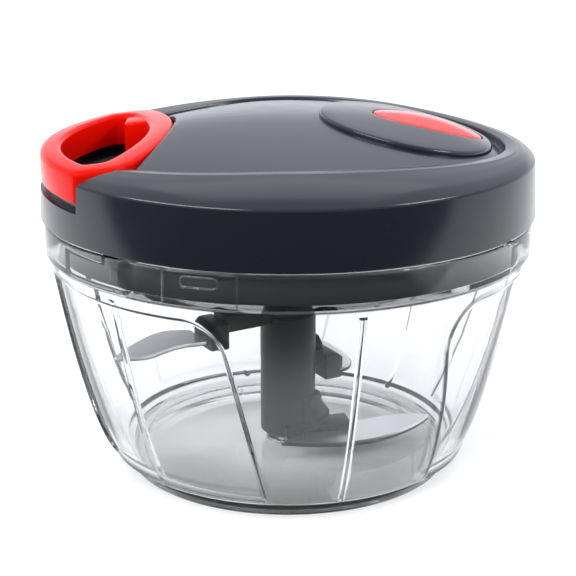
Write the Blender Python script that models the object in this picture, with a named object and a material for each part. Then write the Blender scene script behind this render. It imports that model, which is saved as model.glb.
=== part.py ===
"""Pull-cord hand chopper: clear bowl, bayonet lid with a cord reel, loop handle and a three-blade shaft.

Run with: blender --background --python part.py
Metres, +Z up. The origin is on the bowl's axis at the table. The handle pulls out along -X.
"""
import math

import bmesh
import bpy
from mathutils import Matrix, Vector

GAP = 0.0003                    # clearance between pieces that touch
CUT = 0.002                     # how far a cutter runs past what it cuts

# Clear bowl
RIM_Z = 0.0690                  # top of the rim
BAND_INSET = 0.0008             # the straight band under the rim lies inside the lid's skirt
BAND_HEIGHT = 0.0086
BAND_STEP = 0.0010              # the wall steps in under the band
RIM_CHAMFER = 0.0005
BOWL_WALL = 0.0022
FOOT_RADIUS = 0.0436
FOOT_HEIGHT = 0.0034
FOOT_WIDTH = 0.0026
FOOT_CHAMFER = 0.0005
FOOT_FLARE = 0.0032             # the wall starts this far outside the foot ring
FLOOR_THICKNESS = 0.0022
FLOOR_RECESS = 0.0010           # hollow under the floor
FLOOR_FILLET = 0.0030
BODY_CURVE = 0.58               # exponent of the wall's outward curve
PANELS = 3                      # sunk panels with an arched top, between plain ones
PANEL_SINK = 0.0009
PANEL_HALF_DEG = 32.4
PANEL_EDGE_DEG = 0.9
PANEL_TOP_DROP = 0.0044         # from the band's lower edge down to the arch
PANEL_CORNER = 0.0085
PANEL_AZIMUTH_DEG = -133.5
PANEL_SWIRL_DEG = 10.5          # lean of the panel edges from top to bottom
RIB_HEIGHT = 0.0011
RIB_HALF_DEG = 0.85
RIB_TOP_DROP = 0.0036
PIN_BOSS_RADIUS = 0.0055
PIN_BOSS_HEIGHT = 0.0018
PIN_RADIUS = 0.0019
PIN_LENGTH = 0.0110
PIN_SEAT = 0.0021
COLUMNS = 72

# Bayonet between the bowl's band and the lid's plug ring
CHANNEL_WALL = 0.0012           # what the lugs' channel leaves of the band
PLUG_WALL = 0.0020
PLUG_DEPTH = 0.0084
LEDGE_GAP = 0.0004
LEDGE_HEIGHT = 0.0024
LUG_REACH = 0.0011
LUG_HEIGHT = 0.0036
LUG_HALF_DEG = 1.9
LUG_OFFSET_DEG = 3.0
SLOT_PLAY_DEG = 0.7
TWIST_DEG = 15.0
PAD_RAISE = 0.00035
PAD_OFFSET_DEG = 25.0
PAD_HALF_DEG = 8.1
STEP_DEG = 0.4

# Lid cover
SEAT_GAP = 0.0004               # between the bowl's rim and the skirt
SKIRT_RADIUS = 0.0650           # the widest part of the chopper
SKIRT_HEIGHT = 0.0145
SKIRT_DRAFT = 0.0006
SKIRT_EDGE = 0.0004
BEVEL_WIDTH = 0.0012
SHOULDER_WIDTH = 0.0096
CREST_HEIGHT = 0.0206           # above the skirt's lower edge, front and back
CREST_ROUND = 0.0012
CREST_SAG = 0.0036              # the crest is lower at the handle and the pad
CREST_WIDTH = 0.0018
DOME_HEIGHT = 0.0248
DOME_DROP = 0.0054
DOME_SAG = 0.0040
COVER_WALL = 0.0020
REBATE_HEIGHT = 0.0016
SKIRT_WALL = 0.0022
REBATE_WALL = 0.0009
COVER_STEPS = 64
AXLE_BOSS_RADIUS = 0.0070
AXLE_SOCKET = 0.0040
SCREW_BOSS_RADIUS = 0.0036
SCREW_INSET = 0.0111            # from the plug ring
SCREW_AZIMUTHS_DEG = (62.0, 118.0, -118.0, -62.0)

# Oval pad and red insert on the dome
OVAL_MARGIN = 0.0003
OVAL_HALF_LENGTH = 0.0226
OVAL_HALF_WIDTH = 0.0270
OVAL_HEIGHT = 0.0013
OVAL_ROUND = 0.0007
INSERT_OFFSET = 0.0058
INSERT_HALF_LENGTH = 0.0142
INSERT_HALF_WIDTH = 0.0100
INSERT_CROWN = 0.0009
INSERT_DEPTH = 0.0008
OVAL_STEPS = 40

# Handle and its notch
HANDLE_INSET = 0.0006           # its rim lies inside the skirt's
HANDLE_HALF_WIDTH = 0.0393
HANDLE_DEPTH = 0.0342           # from its rim to its inner side, at the middle
HANDLE_BULGE_SHARE = 0.442      # how far the inner side bows out, as a share of the sides' length
HANDLE_RIM = 0.0056             # width of the loop along the rim
HANDLE_BAR = 0.0066             # width of the loop along the inner side
HANDLE_CORNER = 0.0090
HANDLE_EDGE = 0.0016
HANDLE_BOTTOM = 0.0099          # above the skirt's lower edge
HANDLE_CROWN = 0.0214
HANDLE_FALL = 0.0038
HANDLE_SIDE_FALL = 0.0012
HANDLE_ROUND = 0.0014
HANDLE_END = 0.0068             # width of the loop at its two ends
LOOP_BULGE_SHARE = 0.62
LOOP_CORNER = 0.0034
CORNER_LEDGE_RUN = 0.0170       # ledge across a corner of the loop, from its end along the inner side
CORNER_LEDGE_DEPTH = 0.0118
CORNER_LEDGE_WIDTH = 0.0040
CORNER_LEDGE_DROP = 0.0022
NOTCH_GAP = 0.0006
NOTCH_FLOOR = 0.0076
HANDLE_STEPS = 12

# Reel, spring and cord
BASE_THICKNESS = 0.0016
BASE_CLEAR = 0.0008
HUB_RADIUS = 0.0090
HUB_DROP = 0.0046
HUB_SLEEVE = 0.0018
HUB_PLAY = 0.0006
FLANGE_REACH = 0.0050           # from the drum out
FLANGE_THICKNESS = 0.0013
DRUM_CLEARANCE = 0.0101         # from the drum to the wall of the notch
DRUM_HEIGHT = 0.0092
DRUM_WALL = 0.0012
REEL_WEB = 0.0044
AXLE_RADIUS = 0.0040
AXLE_TIP_RADIUS = 0.0020
RETAINER_WIDTH = 0.0020
RETAINER_THICKNESS = 0.0007
SPRING_STRIP = 0.0005
SPRING_TURNS = 5
SPRING_COVER_THICKNESS = 0.0010
CORD_RADIUS = 0.00075
CORD_PITCH = 0.00195
CORD_TURNS = 2.5
GUIDE_RADIUS = 0.0022
GUIDE_BORE = 0.0013
GUIDE_FLANGE = 0.0034
GUIDE_FLANGE_THICKNESS = 0.0008
KNOT_RADIUS = 0.0016
KNOT_POCKET = 0.0040
SCREW_RADIUS = 0.0014
SCREW_HEAD_RADIUS = 0.0029
SCREW_HEAD_HEIGHT = 0.0013
SCREW_LENGTH = 0.0100

# Blade shaft
SHAFT_RADIUS = 0.0076
SHAFT_FOOT = 0.0003             # above the pin boss
SHAFT_LENGTH = 0.0345           # up to the shoulder
NECK_STEP = 0.0007
HEX_FLATS = 0.0079
HEX_PLAY = 0.0011
HEX_LENGTH = 0.0040
SHAFT_BORE_DEPTH = 0.0112

# Blades and their arms, from the lowest up
BLADE_NAMES = ("lower", "middle", "upper")
BLADE_AZIMUTHS_DEG = (-28.0, 30.0, -149.0)
BLADE_LEANS_DEG = (43.0, 74.0, 3.0)      # from the arm's direction to the blade's
BLADE_THICKNESS = 0.0010
FIRST_BLADE_RISE = 0.0014       # above the shaft's foot
BLADE_PITCH = 0.0147
UPPER_BLADE_LENGTH = 0.0260
SWEPT_BLADE_LENGTH = 0.0330     # the two lower blades start beside the shaft
UPPER_ARM = 0.0188              # from the shaft's surface to the end of the arm
MIDDLE_ARM = 0.0072
LOWER_ROOT = 0.0024             # from the shaft's surface to the middle of the blade's root
MIDDLE_ROOT = 0.0012
CUTTING_EDGE_SHARES = ((0.00, -0.29), (0.14, -0.385), (0.29, -0.41), (0.48, -0.35), (0.70, -0.23), (0.88, -0.10))
LOWER_EDGE_SHARES = ((-0.38, -0.19), (-0.18, -0.27), (0.05, -0.335), (0.16, -0.35), (0.36, -0.335), (0.58, -0.27),
                     (0.80, -0.16), (0.92, -0.075))
MIDDLE_EDGE_SHARES = ((-0.12, -0.20), (-0.07, -0.27), (0.03, -0.325), (0.16, -0.34), (0.36, -0.325), (0.58, -0.26),
                      (0.80, -0.15), (0.92, -0.07))
BACK_EDGE_SHARES = ((0.90, 0.07), (0.78, 0.14), (0.66, 0.155), (0.41, 0.09), (0.23, 0.09), (0.10, 0.125))
SWEPT_BACK_SHARES = ((0.88, 0.065), (0.66, 0.105), (0.40, 0.08), (0.16, 0.06))
MIDDLE_ROOT_SHARES = ((0.12, -0.05), (-0.06, -0.12))
ARM_WIDTH = 0.0064
ARM_THICKNESS = 0.0050
ARM_RISE = 0.0016               # from the blade to the arm's lower side
CLIP_LENGTH = 0.0056
CLIP_WIDTH = 0.0100
CLIP_RISE = 0.0050
CLIP_DROP = 0.0022
CLIP_CHAMFER = 0.0014
TONGUE_LENGTH = 0.0036
TONGUE_WIDTH = 0.0064
FIN_HEIGHT = 0.0086             # upright rib over the middle arm
FIN_REACH = 0.0026
FIN_WIDTH = 0.0034
SHOE_LENGTH = 0.0185            # block over the root of the lower blade
SHOE_WIDTH = 0.0068
SHOE_RISE = 0.0026
SHOE_DROP = 0.0009
SHOE_BACK = 0.0100              # it starts this far behind the blade's root
SHOE_ASIDE = 0.0008             # its middle lies this far inside the root's
WEB_REACH = 0.0036              # stepped web between the shaft and the shoe
WEB_WIDTH = 0.0076
WEB_HEIGHT = 0.0076
WEB_STEP = 0.0024

BAND_RADIUS = SKIRT_RADIUS - BAND_INSET
CHANNEL_RADIUS = BAND_RADIUS - CHANNEL_WALL
PLUG_RADIUS = CHANNEL_RADIUS - GAP - LUG_REACH
CREST_RADIUS = SKIRT_RADIUS - SHOULDER_WIDTH
DOME_RADIUS = CREST_RADIUS - CREST_WIDTH
SCREW_CIRCLE = PLUG_RADIUS - SCREW_INSET
OVAL_CENTRE = DOME_RADIUS - OVAL_MARGIN - OVAL_HALF_LENGTH
INSERT_CENTRE = OVAL_CENTRE + INSERT_OFFSET
HANDLE_RADIUS = SKIRT_RADIUS - HANDLE_INSET
HANDLE_CHORD = HANDLE_RADIUS - HANDLE_DEPTH
LOOP_RADIUS = HANDLE_RADIUS - HANDLE_RIM
LOOP_CHORD = HANDLE_CHORD + HANDLE_BAR
LOOP_HALF_WIDTH = HANDLE_HALF_WIDTH - HANDLE_END
DRUM_RADIUS = HANDLE_CHORD - NOTCH_GAP - COVER_WALL - DRUM_CLEARANCE
REEL_FLANGE = DRUM_RADIUS + FLANGE_REACH
FLOOR_Z = FLOOR_RECESS + FLOOR_THICKNESS
BAND_Z = RIM_Z - BAND_HEIGHT
BODY_TOP_Z = BAND_Z - BAND_STEP
BODY_TOP_RADIUS = BAND_RADIUS - BAND_STEP
BODY_FOOT_RADIUS = FOOT_RADIUS + FOOT_FLARE
BODY_FOOT_Z = FOOT_HEIGHT + RIM_CHAMFER * 2
LEDGE_RADIUS = PLUG_RADIUS + LEDGE_GAP
SEAT_Z = RIM_Z + SEAT_GAP
FLANGE_Z = SEAT_Z + REBATE_HEIGHT
BASE_TOP_Z = FLANGE_Z + BASE_THICKNESS
BEVEL_Z = SEAT_Z + SKIRT_HEIGHT
CREST_Z = SEAT_Z + CREST_HEIGHT
DOME_Z = SEAT_Z + DOME_HEIGHT
NOTCH_Z = SEAT_Z + NOTCH_FLOOR
HANDLE_Z = SEAT_Z + HANDLE_BOTTOM
REEL_Z = BASE_TOP_Z + BASE_CLEAR
DRUM_Z = REEL_Z + FLANGE_THICKNESS
DRUM_TOP_Z = DRUM_Z + DRUM_HEIGHT
REEL_TOP_Z = DRUM_TOP_Z + FLANGE_THICKNESS
HUB_Z = BASE_TOP_Z - BASE_THICKNESS - HUB_DROP
SOCKET_TOP_Z = REEL_Z - FLANGE_THICKNESS
CHAMBER_Z = SOCKET_TOP_Z + REEL_WEB
WINDING_RADIUS = DRUM_RADIUS + GAP + CORD_RADIUS
WINDING_Z = DRUM_Z + GAP + CORD_RADIUS
RUN_Z = WINDING_Z + CORD_TURNS * CORD_PITCH + GAP + CORD_RADIUS * 2
AXLE_TIP_Z = SOCKET_TOP_Z - GAP * 2 - RETAINER_THICKNESS - GAP
PIN_TOP_Z = FLOOR_Z + PIN_BOSS_HEIGHT - PIN_SEAT + PIN_LENGTH
SHAFT_Z = FLOOR_Z + PIN_BOSS_HEIGHT + SHAFT_FOOT


# Scene and materials

def clear_scene():
    """Removes whatever the file starts with."""
    for item in list(bpy.data.objects):
        bpy.data.objects.remove(item)


def finish(name, colour, roughness, metallic=0.0, transmission=0.0):
    """A Principled material of one colour."""
    material = bpy.data.materials.new(name)
    material.use_nodes = True
    shader = material.node_tree.nodes["Principled BSDF"]
    shader.inputs["Base Color"].default_value = (*colour, 1.0)
    shader.inputs["Roughness"].default_value = roughness
    shader.inputs["Metallic"].default_value = metallic
    shader.inputs["Transmission Weight"].default_value = transmission
    return material


def add_object(name, bm, material, smooth_deg=35.0):
    """Turns a bmesh into a named, shaded object with its faces pointing out."""
    bmesh.ops.recalc_face_normals(bm, faces=bm.faces)
    mesh = bpy.data.meshes.new(name)
    bm.to_mesh(mesh)
    bm.free()
    mesh.shade_smooth()
    mesh.set_sharp_from_angle(angle=math.radians(smooth_deg))
    mesh.materials.append(material)
    item = bpy.data.objects.new(name, mesh)
    bpy.context.collection.objects.link(item)
    return item


def as_cutter(item):
    """Marks an object as a tool for a Boolean, which is not part of the model."""
    item.hide_render = True
    item.display_type = "WIRE"
    return item


def boolean(target, tool, operation="DIFFERENCE"):
    """Cuts or joins with another object, which stays in the file as a tool."""
    modifier = target.modifiers.new(operation.lower(), "BOOLEAN")
    modifier.operation = operation
    modifier.solver = "EXACT"
    modifier.object = as_cutter(tool)


# Shapes

def polar(radius, azimuth, z):
    """A point at an azimuth in degrees, counted from +X."""
    angle = math.radians(azimuth)
    return Vector((radius * math.cos(angle), radius * math.sin(angle), z))


def even_ring(radius, z, sag=0.0, steps=COLUMNS, centre=(0.0, 0.0)):
    """A circle of points that dips by sag where it crosses the X axis."""
    points = []
    for k in range(steps):
        point = polar(radius, 360.0 * k / steps, z)
        point.z -= sag * math.cos(2 * math.pi * k / steps) ** 2
        points.append(point + Vector((*centre, 0.0)))
    return points


def loft(rings, closed=False, bottom=None, top=None):
    """Skins rings of equal count. A closed loft joins its last ring to its first; a pole closes an end."""
    bm = bmesh.new()
    rows = [[bm.verts.new(point) for point in ring] for ring in rings]
    count = len(rows[0])
    pairs = list(zip(rows, rows[1:]))
    if closed:
        pairs.append((rows[-1], rows[0]))
    for low, high in pairs:
        for k in range(count):
            after = (k + 1) % count
            bm.faces.new((low[k], low[after], high[after], high[k]))
    for row, pole in ((rows[0], bottom), (rows[-1], top)):
        if pole is not None:
            tip = bm.verts.new(pole)
            for k in range(count):
                bm.faces.new((row[k], row[(k + 1) % count], tip))
        elif not closed:
            bm.faces.new(row)
    return bm


def turned(profile, steps, axis=(0, 0, 1), centre=(0.0, 0.0, 0.0)):
    """Spins a profile of (radius, height) about an axis. A profile that starts and ends on the axis closes itself."""
    bm = bmesh.new()
    direction = Vector(axis)
    across = direction.orthogonal().normalized()
    verts = [bm.verts.new(Vector(centre) + across * radius + direction * height) for radius, height in profile]
    edges = [bm.edges.new(pair) for pair in zip(verts, verts[1:])]
    if profile[0][0] > 0:
        edges.append(bm.edges.new((verts[-1], verts[0])))
    bmesh.ops.spin(bm, geom=verts + edges, cent=centre, axis=direction, angle=2 * math.pi, steps=steps,
                   use_merge=True)
    bmesh.ops.remove_doubles(bm, verts=bm.verts, dist=GAP / 100)
    return bm


def prism(outline, low, high):
    """Extrudes a plan outline between two heights."""
    bm = bmesh.new()
    face = bm.faces.new([bm.verts.new((x, y, low)) for x, y in outline])
    extruded = bmesh.ops.extrude_face_region(bm, geom=[face])
    moved = [v for v in extruded["geom"] if isinstance(v, bmesh.types.BMVert)]
    bmesh.ops.translate(bm, verts=moved, vec=(0, 0, high - low))
    return bm


def block(size, centre, turn_deg=0.0):
    """A box at a centre, turned about the Z axis of the origin."""
    bm = bmesh.new()
    bmesh.ops.create_cube(bm, size=1.0)
    bmesh.ops.scale(bm, verts=bm.verts, vec=size)
    bmesh.ops.translate(bm, verts=bm.verts, vec=centre)
    bmesh.ops.rotate(bm, verts=bm.verts, cent=(0, 0, 0), matrix=Matrix.Rotation(math.radians(turn_deg), 3, "Z"))
    return bm


def polygon(flats, steps=6):
    """Plan outline of a regular polygon, by its width across flats."""
    radius = flats / 2 / math.cos(math.pi / steps)
    return [polar(radius, 360.0 * k / steps, 0).xy for k in range(steps)]


def bezier(start, lead, follow, end, steps):
    """Points on a cubic curve, without its last one."""
    points = []
    for k in range(steps):
        t = k / steps
        s = 1 - t
        points.append(start * s ** 3 + lead * 3 * s * s * t + follow * 3 * s * t * t + end * t ** 3)
    return points


def rounded(corner, before, after, radius, steps):
    """An arc of points that takes the place of an outline's corner."""
    into = (before - corner).normalized()
    out = (after - corner).normalized()
    half = into.angle(out) / 2
    reach = radius / math.tan(half)
    middle = corner + (into + out).normalized() * (radius / math.sin(half))
    start = corner + into * reach - middle
    end = corner + out * reach - middle
    first, last = start.normalized(), end.normalized()
    return [middle + first.slerp(last, k / steps) * radius for k in range(steps + 1)]


# Bowl

def body_radius(z, foot_radius, top_radius, foot_z):
    """Radius of the wall at a height, on its outward curve."""
    share = max(0.0, (z - foot_z) / (BODY_TOP_Z - foot_z))
    return foot_radius + (top_radius - foot_radius) * share ** BODY_CURVE


def column_ring(radius, z, stops, steps=None, turn=0.0):
    """A ring whose columns are spaced by stops: column number to degrees from a panel's centre.

    steps gives the change of radius of single columns. The pattern repeats for each panel.
    """
    per_panel = COLUMNS // PANELS
    numbers = sorted(stops)
    points = []
    for k in range(COLUMNS):
        column = k % per_panel
        after = next(n for n in numbers if n > column)
        before = max(n for n in numbers if n <= column)
        share = (column - before) / (after - before)
        offset = stops[before] + (stops[after] - stops[before]) * share
        azimuth = PANEL_AZIMUTH_DEG + 360.0 / PANELS * (k // per_panel) + offset + turn
        points.append(polar(radius + (steps or {}).get(column, 0.0), azimuth, z))
    return points


def plain_stops(**marks):
    """Column stops for one panel sector, from its edges to the named marks."""
    half = 180.0 / PANELS
    stops = {0: -half, COLUMNS // PANELS: half}
    for name, degrees in marks.items():
        stops[int(name[1:])] = degrees
    return stops


def panel_half(z, top_z):
    """Half angle of a sunk panel at a height: its upper corners are round."""
    rise = z - (top_z - PANEL_CORNER)
    if rise <= 0:
        return PANEL_HALF_DEG
    inset = PANEL_CORNER - math.sqrt(max(0.0, PANEL_CORNER ** 2 - rise ** 2))
    return PANEL_HALF_DEG - math.degrees(inset / BODY_TOP_RADIUS)


def bowl_wall_ring(z, sunk, top_z):
    """A ring of the outer wall, with the panels sunk and their edges leaning."""
    half = panel_half(min(z, top_z), top_z)
    edge = PANEL_EDGE_DEG / 2
    stops = plain_stops(c6=-half - edge, c7=-half + edge, c17=half - edge, c18=half + edge)
    swirl = PANEL_SWIRL_DEG * (0.5 - (z - BODY_FOOT_Z) / (BODY_TOP_Z - BODY_FOOT_Z))
    steps = {column: -PANEL_SINK for column in range(7, 18)} if sunk else None
    radius = body_radius(z, BODY_FOOT_RADIUS, BODY_TOP_RADIUS, BODY_FOOT_Z)
    return column_ring(radius, z, stops, steps, turn=swirl)


def bowl_rings():
    """All rings of the bowl, from the underside out, up the wall, over the rim and down inside."""
    even = plain_stops()
    foot_in = FOOT_RADIUS - FOOT_WIDTH
    rings = [
        column_ring(foot_in - FOOT_CHAMFER, FLOOR_RECESS, even),
        column_ring(foot_in, 0.0, even),
        column_ring(FOOT_RADIUS - FOOT_CHAMFER, 0.0, even),
        column_ring(FOOT_RADIUS, FOOT_CHAMFER, even),
        column_ring(FOOT_RADIUS + FOOT_CHAMFER, FOOT_HEIGHT, even),
    ]
    body = BODY_TOP_Z - BODY_FOOT_Z
    top_z = BAND_Z - PANEL_TOP_DROP
    for share in (0.0, 0.05, 0.13, 0.25, 0.4, 0.58, 0.74):
        rings.append(bowl_wall_ring(BODY_FOOT_Z + share * body, share > 0, top_z))
    for share in (0.45, 0.75, 0.93, 1.0):
        rings.append(bowl_wall_ring(top_z - PANEL_CORNER * (1 - share), True, top_z))
    rings.append(bowl_wall_ring(top_z + PANEL_SINK, False, top_z))
    rings.append(column_ring(BODY_TOP_RADIUS, BODY_TOP_Z, even))
    pad = plain_stops(c15=PAD_OFFSET_DEG - PAD_HALF_DEG - STEP_DEG, c16=PAD_OFFSET_DEG - PAD_HALF_DEG,
                      c19=PAD_OFFSET_DEG + PAD_HALF_DEG, c20=PAD_OFFSET_DEG + PAD_HALF_DEG + STEP_DEG)
    raised = {column: PAD_RAISE for column in range(16, 20)}
    rings.append(column_ring(BAND_RADIUS, BAND_Z, pad, raised))
    rings.append(column_ring(BAND_RADIUS, RIM_Z - RIM_CHAMFER, pad, raised))
    rings.append(column_ring(BAND_RADIUS - RIM_CHAMFER, RIM_Z, even))
    low = LUG_OFFSET_DEG - LUG_HALF_DEG - SLOT_PLAY_DEG
    high = LUG_OFFSET_DEG + LUG_HALF_DEG + SLOT_PLAY_DEG
    deep = CHANNEL_RADIUS - LEDGE_RADIUS
    entry = plain_stops(c11=low - STEP_DEG, c12=low, c14=high, c15=high + STEP_DEG)
    slot = {column: deep for column in (12, 13, 14)}
    ledge_z = RIM_Z - LEDGE_HEIGHT
    rings.append(column_ring(LEDGE_RADIUS, RIM_Z, entry, slot))
    rings.append(column_ring(LEDGE_RADIUS, ledge_z, entry, slot))
    lock = low - TWIST_DEG
    track = plain_stops(c8=lock - STEP_DEG, c9=lock, c14=high, c15=high + STEP_DEG)
    channel = {column: deep for column in range(9, 15)}
    rings.append(column_ring(LEDGE_RADIUS, ledge_z - STEP_Z, track, channel))
    rings.append(column_ring(LEDGE_RADIUS, BAND_Z + BAND_STEP, track, channel))
    rings += bowl_inner_rings()
    return rings


def bowl_inner_rings():
    """The inside of the wall with its six ribs, the floor and the boss of the centre pin."""
    half = 180.0 / PANELS
    ribs = plain_stops(c1=-half + RIB_HALF_DEG, c11=-RIB_HALF_DEG, c12=0.0, c13=RIB_HALF_DEG,
                       c23=half - RIB_HALF_DEG)
    top_radius = BODY_TOP_RADIUS - BOWL_WALL
    foot_radius = BODY_FOOT_RADIUS - BOWL_WALL - FLOOR_FILLET
    proud = {0: -RIB_HEIGHT, 12: -RIB_HEIGHT}
    rings = [column_ring(top_radius, BODY_TOP_Z, ribs)]
    rib_top = BAND_Z - RIB_TOP_DROP
    rings.append(column_ring(body_radius(rib_top + RIB_HEIGHT, foot_radius, top_radius, FLOOR_Z),
                             rib_top + RIB_HEIGHT, ribs))
    for share in (1.0, 0.76, 0.54, 0.34, 0.18, 0.075):
        z = FLOOR_Z + share * (rib_top - FLOOR_Z)
        rings.append(column_ring(body_radius(z, foot_radius, top_radius, FLOOR_Z), z, ribs, proud))
    even = plain_stops()
    z = FLOOR_Z + FLOOR_FILLET / 4
    rings.append(column_ring(body_radius(z, foot_radius, top_radius, FLOOR_Z), z, ribs))
    rings.append(column_ring(foot_radius - FLOOR_FILLET / 2, FLOOR_Z, even))
    rings.append(column_ring(PIN_BOSS_RADIUS + GAP, FLOOR_Z, even))
    rings.append(column_ring(PIN_BOSS_RADIUS, FLOOR_Z + PIN_BOSS_HEIGHT, even))
    rings.append(column_ring(PIN_RADIUS + GAP, FLOOR_Z + PIN_BOSS_HEIGHT, even))
    rings.append(column_ring(PIN_RADIUS + GAP, FLOOR_Z + PIN_BOSS_HEIGHT - PIN_SEAT - GAP, even))
    return rings


STEP_Z = 0.0004                 # height of a chamfer between two rings of the band


def build_bowl(clear):
    """The clear bowl: one moulding."""
    pin_floor = FLOOR_Z + PIN_BOSS_HEIGHT - PIN_SEAT - GAP
    bm = loft(bowl_rings(), bottom=(0, 0, FLOOR_RECESS), top=(0, 0, pin_floor))
    return add_object("bowl", bm, clear)


def build_centre_pin(steel):
    """Steel pin that the blade shaft turns on."""
    foot = PIN_TOP_Z - PIN_LENGTH
    tip = PIN_RADIUS / 2
    profile = [(0, foot), (PIN_RADIUS, foot), (PIN_RADIUS, PIN_TOP_Z - tip), (tip, PIN_TOP_Z), (0, PIN_TOP_Z)]
    return add_object("centre_pin", turned(profile, 16), steel)


# Lid

def dome_z(x, y):
    """Height of the lid's dome above the table."""
    along = (x / DOME_RADIUS) ** 2
    across = (y / DOME_RADIUS) ** 2
    return DOME_Z - DOME_DROP * (along + across) - DOME_SAG * along


def cover_rings(inset=0.0):
    """Rings of the cover's outside, or of its inside at an inset."""
    crest_sag = CREST_SAG
    shoulder = (SKIRT_RADIUS - SKIRT_DRAFT - BEVEL_WIDTH + CREST_RADIUS) / 2
    shoulder_z = (BEVEL_Z + CREST_Z) / 2
    rings = []
    if inset == 0.0:
        rings.append((SKIRT_RADIUS - SKIRT_EDGE, SEAT_Z, 0.0))
        rings.append((SKIRT_RADIUS, SEAT_Z + SKIRT_EDGE, 0.0))
        rings.append((SKIRT_RADIUS - SKIRT_DRAFT, BEVEL_Z - BEVEL_WIDTH, 0.0))
        rings.append((SKIRT_RADIUS - SKIRT_DRAFT - BEVEL_WIDTH / 4, BEVEL_Z - BEVEL_WIDTH / 4, 0.0))
        rings.append((SKIRT_RADIUS - SKIRT_DRAFT - BEVEL_WIDTH, BEVEL_Z + BEVEL_WIDTH / 2, 0.0))
        rings.append((shoulder, shoulder_z + BEVEL_WIDTH / 2, crest_sag / 2))
        rings.append((CREST_RADIUS + CREST_ROUND, CREST_Z - CREST_ROUND / 2, crest_sag))
        rings.append((CREST_RADIUS + CREST_ROUND / 3, CREST_Z, crest_sag))
        rings.append((CREST_RADIUS - CREST_ROUND / 3, CREST_Z - CREST_ROUND / 6, crest_sag))
    else:
        rings.append((SKIRT_RADIUS - REBATE_WALL, SEAT_Z - CUT, 0.0))
        rings.append((SKIRT_RADIUS - REBATE_WALL, FLANGE_Z, 0.0))
        rings.append((SKIRT_RADIUS - SKIRT_WALL, FLANGE_Z, 0.0))
        rings.append((SKIRT_RADIUS - SKIRT_WALL - SKIRT_DRAFT, BEVEL_Z - inset, 0.0))
        rings.append((shoulder - inset, shoulder_z - inset / 2, crest_sag / 2))
        rings.append((CREST_RADIUS - inset / 4, CREST_Z - inset * 1.4, crest_sag))
    edge = DOME_RADIUS - (inset / 2)
    for share in (1.0, 0.82, 0.62, 0.4, 0.2):
        radius = edge * share
        rings.append((radius, dome_z(0, radius) - inset, DOME_SAG * (radius / DOME_RADIUS) ** 2))
    return [even_ring(radius, z, sag, COVER_STEPS) for radius, z, sag in rings]


def loop_outline(radius, half_width, chord, bulge_share, corner, edge):
    """Plan of a D: a rim arc, two straight sides and a bowed inner side, as one closed list of points."""
    half_angle = math.asin(half_width / radius)
    rim = [Vector((-radius * math.cos(a), radius * math.sin(a))) for a in
           [half_angle * (1 - 2 * k / (2 * HANDLE_STEPS)) for k in range(1, 2 * HANDLE_STEPS)]]
    upper = Vector((-radius * math.cos(half_angle), half_width))
    lower = Vector((upper.x, -half_width))
    bulge = bulge_share * (-upper.x - chord)
    corner = min(corner, -upper.x - chord - bulge)
    inner_upper = Vector((-chord - bulge, half_width))
    inner_lower = Vector((inner_upper.x, -half_width))
    sweep = (half_width ** 2 + bulge ** 2) / (2 * bulge)
    centre = Vector((-chord - sweep, 0.0))
    swing = math.asin((half_width - corner) / sweep)
    bow = [centre + Vector((math.cos(a), math.sin(a))) * sweep for a in
           [-swing + 2 * swing * k / (2 * HANDLE_STEPS) for k in range(2 * HANDLE_STEPS + 1)]]
    outer_upper = rounded(upper, inner_upper, rim[0], edge, 3)
    outer_lower = rounded(lower, rim[-1], inner_lower, edge, 3)
    turn_in = bezier_corner(Vector((inner_lower.x, -half_width)), bow[0], bow[1], corner)
    turn_out = [Vector((p.x, -p.y)) for p in reversed(turn_in)]
    return outer_upper + rim[1:-1] + outer_lower + turn_in + bow[1:-1] + turn_out


def bezier_corner(corner, landing, beyond, radius):
    """A soft corner from a straight side onto the bowed side."""
    start = Vector((corner.x - radius / 2, corner.y))
    back = landing + (landing - beyond).normalized() * radius / 2
    lead = start + Vector((radius / 2, 0.0))
    return bezier(start, lead, back, landing, HANDLE_STEPS // 2) + [landing]


def grown(outline, distance):
    """Moves a closed plan outline outwards by a distance."""
    moved = []
    count = len(outline)
    area = sum(outline[k].x * outline[(k + 1) % count].y - outline[(k + 1) % count].x * outline[k].y
               for k in range(count))
    side = 1.0 if area > 0 else -1.0
    for k, point in enumerate(outline):
        before = (point - outline[k - 1]).normalized()
        after = (outline[(k + 1) % count] - point).normalized()
        normal = Vector((before.y + after.y, -before.x - after.x)) * side
        moved.append(point + normal * (distance / (1 + before.dot(after))))
    return moved


def handle_outline(grow=0.0):
    """The handle's outer plan, grown by a clearance."""
    points = loop_outline(HANDLE_RADIUS, HANDLE_HALF_WIDTH, HANDLE_CHORD, HANDLE_BULGE_SHARE, HANDLE_CORNER,
                          HANDLE_EDGE)
    return grown(points, grow) if grow else points


def notch_prism(grow, low, high):
    """A block in the handle's plan, run out past the skirt."""
    rim = HANDLE_RADIUS - HANDLE_EDGE
    outline = [Vector((p.x - CUT * 4, p.y)) if p.length > rim else p for p in handle_outline(grow)]
    return prism(outline, low, high)


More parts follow.
